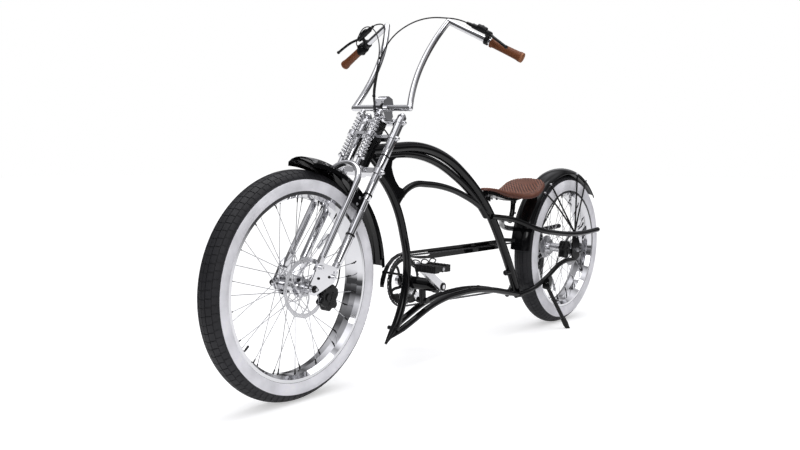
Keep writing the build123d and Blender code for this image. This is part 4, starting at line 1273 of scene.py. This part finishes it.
seat = piece("saddle_leather", *saddle_base(), "frame", "brown_leather", 0, ("saddle",))
remesh = seat.modifiers.new("remesh", "REMESH")
remesh.mode = "VOXEL"
remesh.voxel_size = 0.0042
apply_all(seat)
swell(seat)
relax = seat.modifiers.new("smooth", "SMOOTH")
relax.factor = 0.5
relax.iterations = 4
apply_all(seat)
finer = seat.modifiers.new("sub", "SUBSURF")
finer.levels = finer.render_levels = 1
apply_all(seat)
press_weave(seat)
soften(seat, 0)

# the rolled edge runs round the plan, and short stitches lie across it behind the waist
half = [(x, w - 7, lookup(BOTTOMS, x) + 4.5) for x, w in PLAN]
ring = [Vector(p) for p in half] + [Vector((x, -y, z)) for x, y, z in reversed(half)]
dense = []
for i, p1 in enumerate(ring):
    p0, p2, p3 = (ring[(i + q) % len(ring)] for q in (-1, 1, 2))
    for q in range(5):
        f = q / 5
        dense.append(0.5 * (2 * p1 + (p2 - p0) * f + (2 * p0 - 5 * p1 + 4 * p2 - p3) * f * f
                            + (3 * p1 - p0 - 3 * p2 + p3) * f ** 3))
roll, lace = Shape(), Shape()
roll.tube(dense + [dense[0]], 3.2, 12, False)
roll.done("saddle_roll", "frame", "smooth_leather", 0)
tree = BVHTree.FromObject(seat, bpy.context.evaluated_depsgraph_get())
run, last = 0.0, dense[0]
for i, p in enumerate(dense):
    run += (p - last).length
    last = p
    if run > 8.5 and p.x < 540:
        run = 0.0
        out = Vector((min(0, p.x - 345) / 60, p.y / 60, 0)).normalized()
        t = (dense[(i + 1) % len(dense)] - p).normalized()
        stitch = []
        for inward, along, up in ((12, -2.0, -0.6), (7, -0.7, 1.1), (1, 0.7, 1.1), (-3.5, 2.0, -0.6)):
            q = p - out * inward + t * along
            hit = tree.ray_cast(P(q.x, q.y, 900), Vector((0, 0, -1)))[0]
            if hit is not None:
                stitch.append(upright(hit) + Vector((0, 0, up)))
        if len(stitch) == 4:
            lace.tube(stitch, 1.3, 6)
lace.done("saddle_lace", "frame", "stitch")

# camera at the photograph's place, angle and focal length in pixels

PHOTO_WIDTH, PHOTO_FOCAL = 800, 889.5
cam_data = bpy.data.cameras.new("camera")
cam_data.sensor_width = 36
cam_data.lens = PHOTO_FOCAL / PHOTO_WIDTH * cam_data.sensor_width
cam_data.clip_end = 60
cam = add_object("camera", cam_data)
cam.location = (Vector((3925.5, 2097.2, 813.6)) + SHIFT) / 1000
yaw, pitch = math.radians(-141.92), math.radians(-4.39)
look = Vector((math.cos(pitch) * math.cos(yaw), math.cos(pitch) * math.sin(yaw), math.sin(pitch)))
cam.rotation_euler = look.to_track_quat("-Z", "Y").to_euler()
bpy.context.scene.camera = cam

# floor: it throws light back near the bicycle only, and shows white to the camera

WIDE = 30
me = bpy.data.meshes.new("floor")
me.from_pydata([(-WIDE, -WIDE, 0), (WIDE, -WIDE, 0), (WIDE, WIDE, 0), (-WIDE, WIDE, 0)], [], [(0, 1, 2, 3)])
floor = add_object("floor", me)
near, distant = (0.86, 0.86, 0.86), (0.1, 0.1, 0.1)
fm, nt, b = material("floor", near, 0.95, spec=0.0)
path = node(nt, "LightPath")
far = node(nt, "VectorMath", operation="LENGTH")
nt.links.new(coords(nt), far.inputs[0])
away = spread(nt, far.outputs["Value"], 0.0, 1.0, 2.0, 4.2)
nt.links.new(ramp(nt, away, [(0.0, near), (1.0, distant)]), b.inputs["Base Color"])
eye = calc(nt, "MULTIPLY", path.outputs["Is Camera Ray"], spread(nt, away, 0.46, 1.1))
gloss = calc(nt, "MULTIPLY", path.outputs["Is Glossy Ray"], spread(nt, away, 0.3, 0.0))
b.inputs["Emission Color"].default_value = (1, 1, 1, 1)
nt.links.new(calc(nt, "ADD", eye, gloss), b.inputs["Emission Strength"])
me.materials.append(fm)

# world: white for the camera, bands of light and dark for the chrome, by height and by direction

world = bpy.data.worlds.new("studio")
world.use_nodes = True
bpy.context.scene.world = world
nt = world.node_tree
axes = node(nt, "SeparateXYZ")
nt.links.new(node(nt, "TexCoord").outputs["Generated"], axes.inputs[0])
BY_HEIGHT = [(0.0, 0.3), (0.5, 0.3), (0.53, 0.12), (0.58, 0.05), (0.66, 0.75), (0.78, 0.2),
             (0.88, 1.2), (1.0, 1.4)]
BY_DIRECTION = [(0.0, 0.25), (0.08, 1.0), (0.16, 0.15), (0.27, 0.9), (0.34, 0.12), (0.42, 0.5), (0.5, 0.12),
                (0.56, 1.3), (0.64, 1.2), (0.68, 0.1), (0.76, 0.9), (0.83, 0.15), (0.92, 0.8), (1.0, 0.25)]


def bands(fac, table):
    """Bright and dark bands of a faintly blue grey."""
    return ramp(nt, fac, [(at, (v, v, v * 1.02)) for at, v in table])


up = bands(spread(nt, axes.outputs["Z"], 0.5, 1.0), BY_HEIGHT)
turn = calc(nt, "ARCTAN2", axes.outputs["Y"], axes.outputs["X"])
around = bands(spread(nt, turn, 0.0, 1.0, -math.pi, math.pi), BY_DIRECTION)
seen = node(nt, "LightPath").outputs["Is Camera Ray"]
sky = blend(nt, seen, blend(nt, 0.75, up, around, "MULTIPLY"), (1, 1, 1, 1))
nt.links.new(sky, nt.nodes["Background"].inputs["Color"])
nt.nodes["Background"].inputs["Strength"].default_value = 1.0


def lamp(name, place, aim, size, power):
    d = bpy.data.lights.new(name, "AREA")
    d.shape = "RECTANGLE"
    d.size, d.size_y = size
    d.energy = power
    o = add_object(name, d)
    o.location = place
    o.rotation_euler = (Vector(aim) - Vector(place)).to_track_quat("-Z", "Y").to_euler()


lamp("top", (0.2, 0.2, 4.2), (0, 0, 0), (4.5, 2.5), 70)
lamp("key", (4.2, 3.6, 3.0), (0, 0, 0.4), (2.2, 2.2), 62)

bpy.context.scene.view_settings.view_transform = "Standard"
